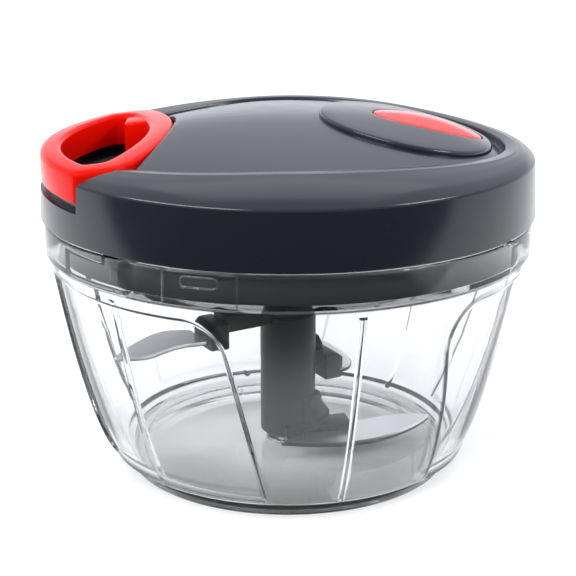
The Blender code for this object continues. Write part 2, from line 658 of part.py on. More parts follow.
def build_cover(plastic):
    """The lid's outer shell: skirt, shoulder, crest and dome, notched for the handle."""
    cover = add_object("top_cover", loft(cover_rings(), top=(0, 0, DOME_Z)), plastic, 25.0)
    cavity = add_object("cover_cavity", loft(cover_rings(COVER_WALL), top=(0, 0, DOME_Z - COVER_WALL)), plastic)
    pocket = add_object("notch_walls", notch_prism(NOTCH_GAP + COVER_WALL, NOTCH_Z - COVER_WALL, DOME_Z), plastic)
    boolean(cavity, pocket)
    boss_foot = REEL_TOP_Z + GAP + SPRING_COVER_THICKNESS + GAP
    boss = [(0, boss_foot), (AXLE_BOSS_RADIUS, boss_foot), (AXLE_BOSS_RADIUS, DOME_Z), (0, DOME_Z)]
    boolean(cavity, add_object("axle_boss", turned(boss, 24), plastic))
    for index, azimuth in enumerate(SCREW_AZIMUTHS_DEG, 1):
        centre = polar(SCREW_CIRCLE, azimuth, 0)
        post = [(0, BASE_TOP_Z + GAP), (SCREW_BOSS_RADIUS, BASE_TOP_Z + GAP), (SCREW_BOSS_RADIUS, DOME_Z),
                (0, DOME_Z)]
        boolean(cavity, add_object(f"screw_boss_{index}", turned(post, 12, centre=centre), plastic))
    boolean(cover, cavity)
    boolean(cover, add_object("handle_notch", notch_prism(NOTCH_GAP, NOTCH_Z, DOME_Z + CUT), plastic))
    socket = [(0, 0), (AXLE_RADIUS + GAP, 0), (AXLE_RADIUS + GAP, boss_foot + AXLE_SOCKET),
              (0, boss_foot + AXLE_SOCKET)]
    boolean(cover, add_object("axle_socket", turned(socket, 24), plastic))
    for index, azimuth in enumerate(SCREW_AZIMUTHS_DEG, 1):
        radius = SCREW_RADIUS + GAP
        top = FLANGE_Z + SCREW_LENGTH + GAP
        hole = [(0, SEAT_Z), (radius, SEAT_Z), (radius, top), (0, top)]
        centre = polar(SCREW_CIRCLE, azimuth, 0)
        boolean(cover, add_object(f"screw_hole_{index}", turned(hole, 10, centre=centre), plastic))
    guide = [(0, 0), (GUIDE_RADIUS + GAP, 0), (GUIDE_RADIUS + GAP, COVER_WALL * 3), (0, COVER_WALL * 3)]
    centre = (-HANDLE_CHORD - COVER_WALL + NOTCH_GAP, 0, RUN_Z)
    boolean(cover, add_object("guide_hole", turned(guide, 16, (1, 0, 0), centre), plastic))
    return cover


def oval(half_length, half_width, centre, height, steps=OVAL_STEPS):
    """An oval of points that lies at a height over the dome."""
    points = []
    for k in range(steps):
        angle = 2 * math.pi * k / steps
        x = centre + half_length * math.cos(angle)
        y = half_width * math.sin(angle)
        points.append(Vector((x, y, dome_z(x, y) + height)))
    return points


def build_oval_plate(plastic):
    """Raised oval plate on the dome, with a seat for the insert."""
    length, width = OVAL_HALF_LENGTH, OVAL_HALF_WIDTH
    seat_length, seat_width = INSERT_HALF_LENGTH + GAP, INSERT_HALF_WIDTH + GAP
    seat = OVAL_HEIGHT - INSERT_DEPTH
    edge = OVAL_ROUND
    middle = (OVAL_CENTRE + INSERT_CENTRE) / 2
    rings = [
        oval(length, width, OVAL_CENTRE, GAP),
        oval(length, width, OVAL_CENTRE, OVAL_HEIGHT - edge),
        oval(length - edge / 3, width - edge / 3, OVAL_CENTRE, OVAL_HEIGHT - edge / 3),
        oval(length - edge, width - edge, OVAL_CENTRE, OVAL_HEIGHT),
        oval((length + seat_length) / 2, (width + seat_width) / 2, middle, OVAL_HEIGHT),
        oval(seat_length, seat_width, INSERT_CENTRE, OVAL_HEIGHT),
        oval(seat_length, seat_width, INSERT_CENTRE, seat),
        oval(seat_length / 2, seat_width / 2, INSERT_CENTRE, seat),
    ]
    under = [
        oval(seat_length / 2, seat_width / 2, INSERT_CENTRE, GAP),
        oval(seat_length, seat_width, INSERT_CENTRE, GAP),
        oval((length + seat_length) / 2, (width + seat_width) / 2, middle, GAP),
    ]
    top = (INSERT_CENTRE, 0, dome_z(INSERT_CENTRE, 0) + seat)
    bottom = (INSERT_CENTRE, 0, dome_z(INSERT_CENTRE, 0) + GAP)
    return add_object("oval_plate", loft(under + rings, bottom=bottom, top=top), plastic)


def build_oval_insert(plastic):
    """Red oval insert with a low crown, seated in the plate. Its face is bare."""
    seat = OVAL_HEIGHT - INSERT_DEPTH + GAP
    rings = [oval(INSERT_HALF_LENGTH * share, INSERT_HALF_WIDTH * share, INSERT_CENTRE, seat)
             for share in (0.5, 1.0)]
    for share in (1.0, 0.9, 0.7, 0.4):
        height = OVAL_HEIGHT + INSERT_CROWN * (1 - share ** 2)
        rings.append(oval(INSERT_HALF_LENGTH * share, INSERT_HALF_WIDTH * share, INSERT_CENTRE, height))
    ground = dome_z(INSERT_CENTRE, 0)
    top = (INSERT_CENTRE, 0, ground + OVAL_HEIGHT + INSERT_CROWN)
    bottom = (INSERT_CENTRE, 0, ground + seat)
    return add_object("oval_insert", loft(rings, bottom=bottom, top=top), plastic)


def build_base_plate(plastic):
    """Underside of the lid: flange, plug ring with three bayonet lugs, and the hub's sleeve."""
    even = plain_stops()
    low = LUG_OFFSET_DEG - LUG_HALF_DEG
    high = LUG_OFFSET_DEG + LUG_HALF_DEG
    stops = plain_stops(c11=low - STEP_DEG, c12=low, c14=high, c15=high + STEP_DEG)
    lug = {column: LUG_REACH for column in (12, 13, 14)}
    lug_top = RIM_Z - LEDGE_HEIGHT - STEP_Z - GAP
    plug_foot = FLANGE_Z - PLUG_DEPTH - REBATE_HEIGHT
    sleeve = HUB_RADIUS + HUB_PLAY
    sleeve_z = FLANGE_Z - HUB_DROP
    edge = SKIRT_RADIUS - SKIRT_WALL - GAP
    rings = [
        column_ring(PLUG_RADIUS, FLANGE_Z, stops),
        column_ring(edge, FLANGE_Z, even),
        column_ring(edge, BASE_TOP_Z, even),
        column_ring(sleeve, BASE_TOP_Z, even),
        column_ring(sleeve, sleeve_z, even),
        column_ring(sleeve + HUB_SLEEVE, sleeve_z, even),
        column_ring(sleeve + HUB_SLEEVE, FLANGE_Z, even),
        column_ring(PLUG_RADIUS - PLUG_WALL, FLANGE_Z, even),
        column_ring(PLUG_RADIUS - PLUG_WALL, plug_foot, even),
        column_ring(PLUG_RADIUS - STEP_Z, plug_foot, even),
        column_ring(PLUG_RADIUS, plug_foot + STEP_Z, stops),
        column_ring(PLUG_RADIUS, lug_top - LUG_HEIGHT - STEP_Z, stops),
        column_ring(PLUG_RADIUS, lug_top - LUG_HEIGHT, stops, lug),
        column_ring(PLUG_RADIUS, lug_top, stops, lug),
        column_ring(PLUG_RADIUS, lug_top + STEP_Z, stops),
    ]
    base = add_object("base_plate", loft(rings, closed=True), plastic)
    for index, azimuth in enumerate(SCREW_AZIMUTHS_DEG, 1):
        radius = SCREW_RADIUS + GAP
        hole = [(0, SEAT_Z), (radius, SEAT_Z), (radius, BASE_TOP_Z + CUT), (0, BASE_TOP_Z + CUT)]
        centre = polar(SCREW_CIRCLE, azimuth, 0)
        boolean(base, add_object(f"base_hole_{index}", turned(hole, 10, centre=centre), plastic))
    return base


def build_lid_screws(steel):
    """Four pan-head screws that hold the base plate to the cover."""
    head_z = FLANGE_Z - GAP
    top = FLANGE_Z + SCREW_LENGTH
    profile = [(0, head_z - SCREW_HEAD_HEIGHT), (SCREW_HEAD_RADIUS * 0.7, head_z - SCREW_HEAD_HEIGHT),
               (SCREW_HEAD_RADIUS, head_z - SCREW_HEAD_HEIGHT / 2), (SCREW_HEAD_RADIUS, head_z),
               (SCREW_RADIUS, head_z), (SCREW_RADIUS, top - SCREW_RADIUS), (0, top)]
    for index, azimuth in enumerate(SCREW_AZIMUTHS_DEG, 1):
        bm = turned(profile, 10, centre=polar(SCREW_CIRCLE, azimuth, 0))
        add_object(f"lid_screw_{index}", bm, steel)


def build_seal_ring(rubber):
    """Flat silicone seal between the bowl's rim and the lid's flange."""
    low, high = RIM_Z + GAP, FLANGE_Z - GAP
    inner, outer = LEDGE_RADIUS, SKIRT_RADIUS - REBATE_WALL - GAP
    profile = [(inner, low), (outer, low), (outer, high), (inner, high)]
    return add_object("seal_ring", turned(profile, COLUMNS), rubber)


# Handle

def handle_top(x, y):
    """Height of the handle's top: it falls towards the rim and towards its two ends."""
    depth = HANDLE_RADIUS - HANDLE_CHORD
    fall = HANDLE_FALL * (-HANDLE_CHORD - x) / depth
    return SEAT_Z + HANDLE_CROWN - fall - HANDLE_SIDE_FALL * (y / HANDLE_HALF_WIDTH) ** 2


def loop_hole():
    """Plan of the finger loop."""
    return loop_outline(LOOP_RADIUS, LOOP_HALF_WIDTH, LOOP_CHORD, LOOP_BULGE_SHARE, LOOP_CORNER, HANDLE_EDGE)


def raised_ring(outline, drop):
    """Lifts a plan outline to the handle's top, less a drop."""
    return [Vector((p.x, p.y, handle_top(p.x, p.y) - drop)) for p in outline]


def flat_ring(outline, z):
    """Lifts a plan outline to one height."""
    return [Vector((p.x, p.y, z)) for p in outline]


def build_handle(plastic):
    """The loop handle, with a ledge in each end of its loop and a pocket for the cord's knot."""
    outer, hole = handle_outline(), loop_hole()
    soft = HANDLE_ROUND
    rings = [
        flat_ring(outer, HANDLE_Z),
        raised_ring(outer, soft),
        raised_ring(grown(outer, -soft / 3), soft / 3),
        raised_ring(grown(outer, -soft), 0.0),
        raised_ring(grown(hole, soft), 0.0),
        raised_ring(grown(hole, soft / 3), soft / 3),
        raised_ring(hole, soft),
        flat_ring(hole, HANDLE_Z),
    ]
    handle = add_object("handle", loft(rings, closed=True), plastic, 40.0)
    for side, name in ((1, "back_ledge"), (-1, "front_ledge")):
        boolean(handle, add_object(name, corner_ledge(side), plastic), "UNION")
    pocket_x = -HANDLE_CHORD - KNOT_POCKET
    size = (KNOT_POCKET, KNOT_POCKET, RUN_Z + KNOT_POCKET / 2 - HANDLE_Z + CUT)
    centre = (pocket_x + KNOT_POCKET / 4, 0, HANDLE_Z - CUT + size[2] / 2)
    boolean(handle, add_object("knot_pocket", block(size, centre), plastic))
    bore = [(0, 0), (CORD_RADIUS + GAP * 2, 0), (CORD_RADIUS + GAP * 2, KNOT_POCKET + CUT),
            (0, KNOT_POCKET + CUT)]
    mouth = (pocket_x + KNOT_POCKET / 4, 0, RUN_Z)
    boolean(handle, add_object("cord_bore", turned(bore, 12, (1, 0, 0), mouth), plastic))
    return handle


def corner_ledge(side):
    """A ledge across one corner of the loop, a little below the handle's top."""
    end = Vector((-LOOP_CHORD - CORNER_LEDGE_DEPTH, LOOP_HALF_WIDTH))
    start = Vector((-LOOP_CHORD, LOOP_HALF_WIDTH - CORNER_LEDGE_RUN))
    along = (end - start).normalized()
    back = Vector((along.y, -along.x)) * CORNER_LEDGE_WIDTH
    outline = [(p.x, p.y * side) for p in (start, end, end + back, start + back)]
    middle = (start + end) / 2
    low = HANDLE_Z + CORNER_LEDGE_DROP / 2
    return prism(outline, low, handle_top(middle.x, middle.y) - CORNER_LEDGE_DROP)


# Reel, spring and cord

def build_reel(plastic):
    """Cord reel: drum with two flanges, an open spring chamber above and a hex socket below."""
    chamber = DRUM_RADIUS - DRUM_WALL
    bore = AXLE_TIP_RADIUS + GAP
    profile = [(bore, HUB_Z), (HUB_RADIUS, HUB_Z), (HUB_RADIUS, REEL_Z), (REEL_FLANGE, REEL_Z),
               (REEL_FLANGE, DRUM_Z), (DRUM_RADIUS, DRUM_Z), (DRUM_RADIUS, DRUM_TOP_Z),
               (REEL_FLANGE, DRUM_TOP_Z), (REEL_FLANGE, REEL_TOP_Z), (chamber, REEL_TOP_Z),
               (chamber, CHAMBER_Z), (bore, CHAMBER_Z)]
    reel = add_object("cord_reel", turned(profile, 36), plastic)
    socket = prism(polygon(HEX_FLATS + HEX_PLAY), HUB_Z - CUT, SOCKET_TOP_Z)
    boolean(reel, add_object("hex_socket", socket, plastic))
    return reel


def build_reel_axle(steel):
    """Stepped steel axle, held in the cover's boss. The spring's inner end hooks on it."""
    top = REEL_TOP_Z + GAP * 2 + SPRING_COVER_THICKNESS + AXLE_SOCKET - GAP
    shoulder = CHAMBER_Z + GAP
    profile = [(0, AXLE_TIP_Z), (AXLE_TIP_RADIUS, AXLE_TIP_Z), (AXLE_TIP_RADIUS, shoulder),
               (AXLE_RADIUS, shoulder), (AXLE_RADIUS, top), (0, top)]
    return add_object("reel_axle", turned(profile, 20), steel)


def build_axle_clip(steel):
    """Retaining ring on the axle's tip, under the reel's web."""
    inner = AXLE_TIP_RADIUS + GAP
    outer = inner + RETAINER_WIDTH
    high = SOCKET_TOP_Z - GAP
    low = high - RETAINER_THICKNESS
    profile = [(inner, low), (outer, low), (outer, high), (inner, high)]
    return add_object("axle_clip", turned(profile, 20), steel)


def build_spring(steel):
    """Spiral return spring: one flat strip wound in the reel's chamber."""
    low, high = CHAMBER_Z + GAP, REEL_TOP_Z - GAP
    half = SPRING_STRIP / 2
    start = AXLE_RADIUS + GAP + half
    end = DRUM_RADIUS - DRUM_WALL - GAP - half
    count = SPRING_TURNS * 16
    rings = []
    for k in range(count + 1):
        share = k / count
        radius = start + (end - start) * share
        azimuth = 360.0 * SPRING_TURNS * share
        rings.append([polar(radius - half, azimuth, low), polar(radius + half, azimuth, low),
                      polar(radius + half, azimuth, high), polar(radius - half, azimuth, high)])
    return add_object("return_spring", loft(rings), steel)


def build_spring_cover(plastic):
    """Disc that closes the spring chamber and turns with the reel."""
    low = REEL_TOP_Z + GAP
    high = low + SPRING_COVER_THICKNESS
    inner = AXLE_RADIUS + GAP * 2
    profile = [(inner, low), (REEL_FLANGE - GAP, low), (REEL_FLANGE - GAP, high), (inner, high)]
    return add_object("spring_cover", turned(profile, 36), plastic)


def tube(name, points, radius, material, resolution=2):
    """A round tube along points, as a curve with filled caps."""
    curve = bpy.data.curves.new(name, "CURVE")
    curve.dimensions = "3D"
    curve.bevel_depth = radius
    curve.bevel_resolution = resolution
    curve.use_fill_caps = True
    spline = curve.splines.new("POLY")
    spline.points.add(len(points) - 1)
    for place, point in zip(spline.points, points):
        place.co = (*point, 1.0)
    curve.materials.append(material)
    item = bpy.data.objects.new(name, curve)
    bpy.context.collection.objects.link(item)
    return item


def run_leaves():
    """Azimuth in degrees where the straight run leaves the winding."""
    reach = HANDLE_CHORD - COVER_WALL
    return 180.0 + math.degrees(math.acos(WINDING_RADIUS / reach))


def build_cord(fibre):
    """The pull cord: turns on the drum, the run to the guide, and the end with its knot in the handle."""
    per_turn = 24
    count = int(CORD_TURNS * per_turn)
    start = run_leaves()
    winding = []
    for k in range(count + 1):
        turns = k / per_turn
        z = WINDING_Z + CORD_PITCH * (CORD_TURNS - turns)
        winding.append(polar(WINDING_RADIUS, start + 360.0 * turns, z))
    gap = min((winding[k] - winding[k + per_turn]).length for k in range(count + 1 - per_turn))
    print("least gap between turns of the cord, mm:", round((gap - 2 * CORD_RADIUS) * 1000, 2))
    tube("cord_winding", winding, CORD_RADIUS, fibre, 1)
    leaves = polar(WINDING_RADIUS, start, RUN_Z)
    mouth = Vector((-HANDLE_CHORD + COVER_WALL + GUIDE_BORE, 0, RUN_Z))
    out = Vector((-HANDLE_CHORD + NOTCH_GAP + GAP, 0, RUN_Z))
    run = bezier(leaves, leaves.lerp(mouth, 0.6), mouth, out, 10) + [out]
    tube("cord_run", run, CORD_RADIUS, fibre)
    knot = Vector((-HANDLE_CHORD - KNOT_POCKET * 3 / 4, 0, RUN_Z))
    neck = math.sqrt(KNOT_RADIUS ** 2 - CORD_RADIUS ** 2)
    length = out.x - GAP - knot.x
    profile = [(KNOT_RADIUS * math.sin(a), -KNOT_RADIUS * math.cos(a)) for a in
               [math.pi * k / 8 for k in range(7)]]
    profile += [(CORD_RADIUS, neck), (CORD_RADIUS, length), (0, length)]
    profile[0] = (0, -KNOT_RADIUS)
    add_object("cord_end", turned(profile, 12, (1, 0, 0), knot), fibre)


def build_cord_guide(plastic):
    """Flanged bush in the notch wall that the cord runs through."""
    inner_face = HANDLE_CHORD - NOTCH_GAP - COVER_WALL
    length = COVER_WALL + GAP + GUIDE_FLANGE_THICKNESS
    seat = COVER_WALL + GAP
    flare = GUIDE_FLANGE - GUIDE_FLANGE_THICKNESS
    profile = [(GUIDE_BORE, 0), (GUIDE_RADIUS, 0), (GUIDE_RADIUS, seat), (GUIDE_FLANGE, seat),
               (GUIDE_FLANGE, length), (flare, length), (GUIDE_BORE, seat / 2)]
    centre = (-inner_face - COVER_WALL, 0, RUN_Z)
    return add_object("cord_guide", turned(profile, 16, (1, 0, 0), centre), plastic)


# Blade unit

def smoothed(points, steps):
    """A smooth open curve through points, with steps spans between two of them."""
    ends = [points[0] * 2 - points[1]] + points + [points[-1] * 2 - points[-2]]
    curve = []
    for before, here, there, after in zip(ends, ends[1:], ends[2:], ends[3:]):
        lead = here + (there - before) / 6
        follow = there - (after - here) / 6
        curve += bezier(here, lead, follow, there, steps)
    return curve + [points[-1]]


class Blade:
    """One blade and its arm, in the arm's own frame: x out along the arm, z up."""

    def __init__(self, level):
        self.name = BLADE_NAMES[level]
        self.azimuth = BLADE_AZIMUTHS_DEG[level]
        self.z = SHAFT_Z + FIRST_BLADE_RISE + level * BLADE_PITCH
        self.length = (SWEPT_BLADE_LENGTH, SWEPT_BLADE_LENGTH, UPPER_BLADE_LENGTH)[level]
        self.end = SHAFT_RADIUS + (LOWER_ROOT, MIDDLE_ARM, UPPER_ARM)[level]
        self.root = Vector((SHAFT_RADIUS + (LOWER_ROOT, MIDDLE_ROOT, UPPER_ARM)[level], 0.0))
        self.edge_shares = (LOWER_EDGE_SHARES, MIDDLE_EDGE_SHARES, CUTTING_EDGE_SHARES)[level]
        self.back_shares = (SWEPT_BACK_SHARES, SWEPT_BACK_SHARES, BACK_EDGE_SHARES)[level]
        lean = math.radians(BLADE_LEANS_DEG[level])
        self.along = Vector((math.cos(lean), math.sin(lean)))
        self.left = Vector((-self.along.y, self.along.x))

    def point(self, along_share, left_share):
        """A point of the plan, by its shares of the blade's length."""
        return self.root + self.along * self.length * along_share + self.left * self.length * left_share

    def outline(self):
        """Plan of the crescent: cutting edge, tip, back edge, and the root that its arm holds."""
        tip = self.point(1.0, 0.0)
        edge = smoothed([self.point(*share) for share in self.edge_shares] + [tip], 3)
        back = smoothed([tip] + [self.point(*share) for share in self.back_shares], 2)[1:]
        return edge + back + self.held_root(edge[0], back[-1])

    def held_root(self, edge_start, back_end):
        """The part of the plan that lies in the arm: a hollow round the shaft, a slant or a tongue."""
        if self.name == "lower":
            radius = SHAFT_RADIUS + GAP
            first = math.atan2(back_end.y, back_end.x)
            last = math.atan2(edge_start.y, edge_start.x)
            angles = [first + (last - first) * k / 8 for k in range(9)]
            return [Vector((radius * math.cos(a), radius * math.sin(a))) for a in angles]
        if self.name == "middle":
            return [self.point(*share) for share in MIDDLE_ROOT_SHARES]
        half = Vector((0.0, TONGUE_WIDTH / 2))
        neck = Vector((GAP, 0.0))
        tongue = Vector((-TONGUE_LENGTH, 0.0))
        return [self.root + half + neck, self.root + half + tongue, self.root - half + tongue,
                self.root - half + neck]

    def turn(self, bm):
        """Turns a shape from the arm's frame to its azimuth."""
        matrix = Matrix.Rotation(math.radians(self.azimuth), 3, "Z")
        bmesh.ops.rotate(bm, verts=bm.verts, cent=(0, 0, 0), matrix=matrix)
        return bm

    def bar(self, start, end, width, low, high):
        """An upright slab between two plan points of the arm's frame."""
        side = Vector((start.y - end.y, end.x - start.x)).normalized() * width / 2
        outline = [p.to_tuple() for p in (start - side, end - side, end + side, start + side)]
        return self.turn(prism(outline, low, high))


def side_slab(blade, profile, width):
    """Extrudes a side view of (out, z) evenly to both sides of an arm."""
    bm = bmesh.new()
    face = bm.faces.new([bm.verts.new((out, -width / 2, z)) for out, z in profile])
    extruded = bmesh.ops.extrude_face_region(bm, geom=[face])
    moved = [v for v in extruded["geom"] if isinstance(v, bmesh.types.BMVert)]
    bmesh.ops.translate(bm, verts=moved, vec=(0, width, 0))
    return blade.turn(bm)


def arm_shapes(blade):
    """The shapes that carry a blade, named, all to be joined to the shaft."""
    core = SHAFT_RADIUS / 2
    if blade.name == "lower":
        return lower_arm_shapes(blade, core)
    end = blade.end
    start = end - CLIP_LENGTH
    low = blade.z + ARM_RISE
    arm = blade.bar(Vector((core, 0.0)), Vector((start + GAP, 0.0)), ARM_WIDTH, low, low + ARM_THICKNESS)
    top, foot = blade.z + CLIP_RISE, blade.z - CLIP_DROP
    clip = [(start, foot), (end, foot), (end, top - CLIP_CHAMFER), (end - CLIP_CHAMFER, top), (start, top)]
    shapes = [("arm", arm), ("clip", side_slab(blade, clip, CLIP_WIDTH))]
    if blade.name == "middle":
        reach = SHAFT_RADIUS + FIN_REACH
        top = low + FIN_HEIGHT
        fin = [(core, low + GAP), (reach, low + GAP), (reach, top - FIN_REACH), (reach - FIN_REACH / 2, top),
               (core, top)]
        shapes.append(("fin", side_slab(blade, fin, FIN_WIDTH)))
    return shapes


def lower_arm_shapes(blade, core):
    """The shoe over the lower blade's root and the stepped web that carries it."""
    middle = blade.root + blade.left * SHOE_ASIDE
    start = middle - blade.along * SHOE_BACK
    low, high = blade.z - SHOE_DROP, blade.z + SHOE_RISE
    shoe = blade.bar(start, start + blade.along * SHOE_LENGTH, SHOE_WIDTH, low, high)
    reach = SHAFT_RADIUS + WEB_REACH
    top = high + WEB_HEIGHT
    web = [(core, low + GAP), (reach, low + GAP), (reach, high + WEB_STEP), (reach - WEB_STEP, high + WEB_STEP * 2),
           (reach - WEB_STEP, top - WEB_STEP / 2), (reach - WEB_STEP * 3 / 2, top), (core, top)]
    return [("shoe", shoe), ("web", side_slab(blade, web, WEB_WIDTH))]


def build_shaft(plastic, blades):
    """Blade shaft with its three arms, a bore for the pin below and a hex head above."""
    neck_radius = SHAFT_RADIUS - NECK_STEP
    shoulder_z = SHAFT_Z + SHAFT_LENGTH
    head_z = HUB_Z - GAP
    bore = PIN_RADIUS + GAP
    bore_top = SHAFT_Z + SHAFT_BORE_DEPTH
    profile = [(0, bore_top), (bore, bore_top), (bore, SHAFT_Z), (neck_radius, SHAFT_Z),
               (SHAFT_RADIUS, SHAFT_Z + NECK_STEP), (SHAFT_RADIUS, shoulder_z - NECK_STEP),
               (neck_radius, shoulder_z), (neck_radius, head_z - NECK_STEP),
               (neck_radius - NECK_STEP, head_z), (0, head_z)]
    shaft = add_object("blade_shaft", turned(profile, 28), plastic)
    head = prism(polygon(HEX_FLATS), head_z - CUT, head_z + HEX_LENGTH)
    boolean(shaft, add_object("hex_head", head, plastic), "UNION")
    for blade in blades:
        for name, bm in arm_shapes(blade):
            boolean(shaft, add_object(f"{blade.name}_{name}", bm, plastic), "UNION")
        half = BLADE_THICKNESS / 2 + GAP
        slot = blade.turn(prism(grown(blade.outline(), GAP), blade.z - half, blade.z + half))
        boolean(shaft, add_object(f"{blade.name}_slot", slot, plastic))
    return shaft


def build_blades(steel, blades):
    """Three crescent blades, each in the slot of its arm."""
    half = BLADE_THICKNESS / 2
    for blade in blades:
        bm = blade.turn(prism(blade.outline(), blade.z - half, blade.z + half))
        add_object(f"{blade.name}_blade", bm, steel)


def main():
    """Builds every piece of the chopper."""
    clear_scene()
    clear = finish("clear_styrene", (0.95, 0.96, 0.97), 0.05, transmission=1.0)
    slate = finish("slate_abs", (0.055, 0.060, 0.072), 0.38)
    red = finish("red_abs", (0.85, 0.03, 0.015), 0.22)
    steel = finish("stainless_steel", (0.62, 0.62, 0.62), 0.28, metallic=1.0)
    white = finish("natural_acetal", (0.80, 0.80, 0.78), 0.45)
    silicone = finish("grey_silicone", (0.20, 0.21, 0.22), 0.60)
    fibre = finish("nylon_cord", (0.75, 0.75, 0.72), 0.80)
    build_bowl(clear)
    build_centre_pin(steel)
    build_cover(slate)
    build_oval_plate(slate)
    build_oval_insert(red)
    build_base_plate(slate)
    build_lid_screws(steel)
    build_seal_ring(silicone)
    build_handle(red)
    build_reel(white)
    build_reel_axle(steel)
    build_axle_clip(steel)
    build_spring(steel)
    build_spring_cover(white)
    build_cord(fibre)
    build_cord_guide(white)
    blades = [Blade(level) for level in range(len(BLADE_NAMES))]
    build_shaft(slate, blades)
    build_blades(steel, blades)


main()
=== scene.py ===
"""Dressed model of a pull-cord hand chopper.

A clear bowl, a slate lid with a red loop handle, and a shaft with three steel blades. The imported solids
are the frame: finer pieces stand in for the ones that the eye rests on, and every other solid gets its own
finish. Shapes are in metres, in the frame of the solids: +Z up, the handle pulls out along -X. The grains of
the finishes are in millimetres.
"""
import logging
import math
from dataclasses import dataclass, field
from enum import Enum
from typing import Callable, Sequence

import bmesh
import bpy
from mathutils import Matrix, Vector


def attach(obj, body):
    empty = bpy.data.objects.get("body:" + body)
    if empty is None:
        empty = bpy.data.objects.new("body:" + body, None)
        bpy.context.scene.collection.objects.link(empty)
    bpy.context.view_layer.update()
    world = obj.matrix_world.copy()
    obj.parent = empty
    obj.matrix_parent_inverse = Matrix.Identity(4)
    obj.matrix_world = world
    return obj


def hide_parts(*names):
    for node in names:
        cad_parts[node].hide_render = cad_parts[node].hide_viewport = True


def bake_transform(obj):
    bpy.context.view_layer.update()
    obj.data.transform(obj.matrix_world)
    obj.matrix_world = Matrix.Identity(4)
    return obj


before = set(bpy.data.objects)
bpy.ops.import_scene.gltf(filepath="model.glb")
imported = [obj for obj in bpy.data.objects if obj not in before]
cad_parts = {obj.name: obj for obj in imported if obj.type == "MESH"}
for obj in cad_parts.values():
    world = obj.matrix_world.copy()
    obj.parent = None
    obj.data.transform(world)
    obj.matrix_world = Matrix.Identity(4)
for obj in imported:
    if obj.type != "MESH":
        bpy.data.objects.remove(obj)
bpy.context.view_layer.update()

LOG = logging.getLogger("chopper")
MM = 0.001
MERGE_DISTANCE = 1e-6
ROUNDING = 1e-12

Piece = bpy.types.Object
Shape = bmesh.types.BMesh
Vert = bmesh.types.BMVert
Triple = tuple[float, float, float]
Quad = tuple[float, float, float, float]


class Body(str, Enum):
    """The moving bodies of the chopper, by their names in the record."""

    BOWL = "bowl"
    SEAL = "seal"
    LID = "lid"
    HANDLE = "handle"
    REEL = "reel"
    BLADES = "blade_unit"


class Slot(str, Enum):
    """The material slots of the record."""

    CLEAR = "clear_plastic"
    SLATE = "slate_plastic"
    DARK = "dark_plastic"
    RED = "red_plastic"
    WHITE = "white_plastic"
    SILICONE = "silicone"
    STEEL = "steel"
    BLADE = "blade_steel"
    CORD = "cord"


# Finishes

def linear(colour: str) -> Quad:
    """Turns an sRGB hex colour into linear light.

    Args:
        colour: Six hex digits with a leading hash.

    Returns:
        Red, green, blue and an alpha of one.
    """
    parts = [int(colour[k:k + 2], 16) / 255 for k in (1, 3, 5)]
    return (*[p / 12.92 if p <= 0.04045 else ((p + 0.055) / 1.055) ** 2.4 for p in parts], 1.0)


def add_node(tree: bpy.types.NodeTree, kind: str, values: dict | None = None, links: dict | None = None,
             **settings: object) -> bpy.types.Node:
    """Adds a node with its settings, socket values and links.

    Args:
        tree: The node tree that gets the node.
        kind: Blender's name for the node type.
        values: Input socket name or number to its value.
        links: Input socket name or number to the output socket that feeds it.
        **settings: Properties of the node itself.

    Returns:
        The new node.
    """
    node = tree.nodes.new(kind)
    for name, value in settings.items():
        setattr(node, name, value)
    for socket, value in (values or {}).items():
        node.inputs[socket].default_value = value
    for socket, source in (links or {}).items():
        tree.links.new(source, node.inputs[socket])
    return node


def start_tree(name: str) -> tuple[bpy.types.Material, bpy.types.NodeTree, bpy.types.NodeSocket]:
    """Makes an empty material.

    Args:
        name: The material's name.

    Returns:
        The material, its node tree and the Object coordinates to read.
    """
    material = bpy.data.materials.new(name)
    material.use_nodes = True
    tree = material.node_tree
    tree.nodes.clear()
    place = add_node(tree, "ShaderNodeTexCoord").outputs["Object"]
    return material, tree, place


def per_mm(size_mm: float) -> float:
    """Texture scale that gives one feature per size_mm, in a frame of metres."""
    return 1.0 / (size_mm * MM)


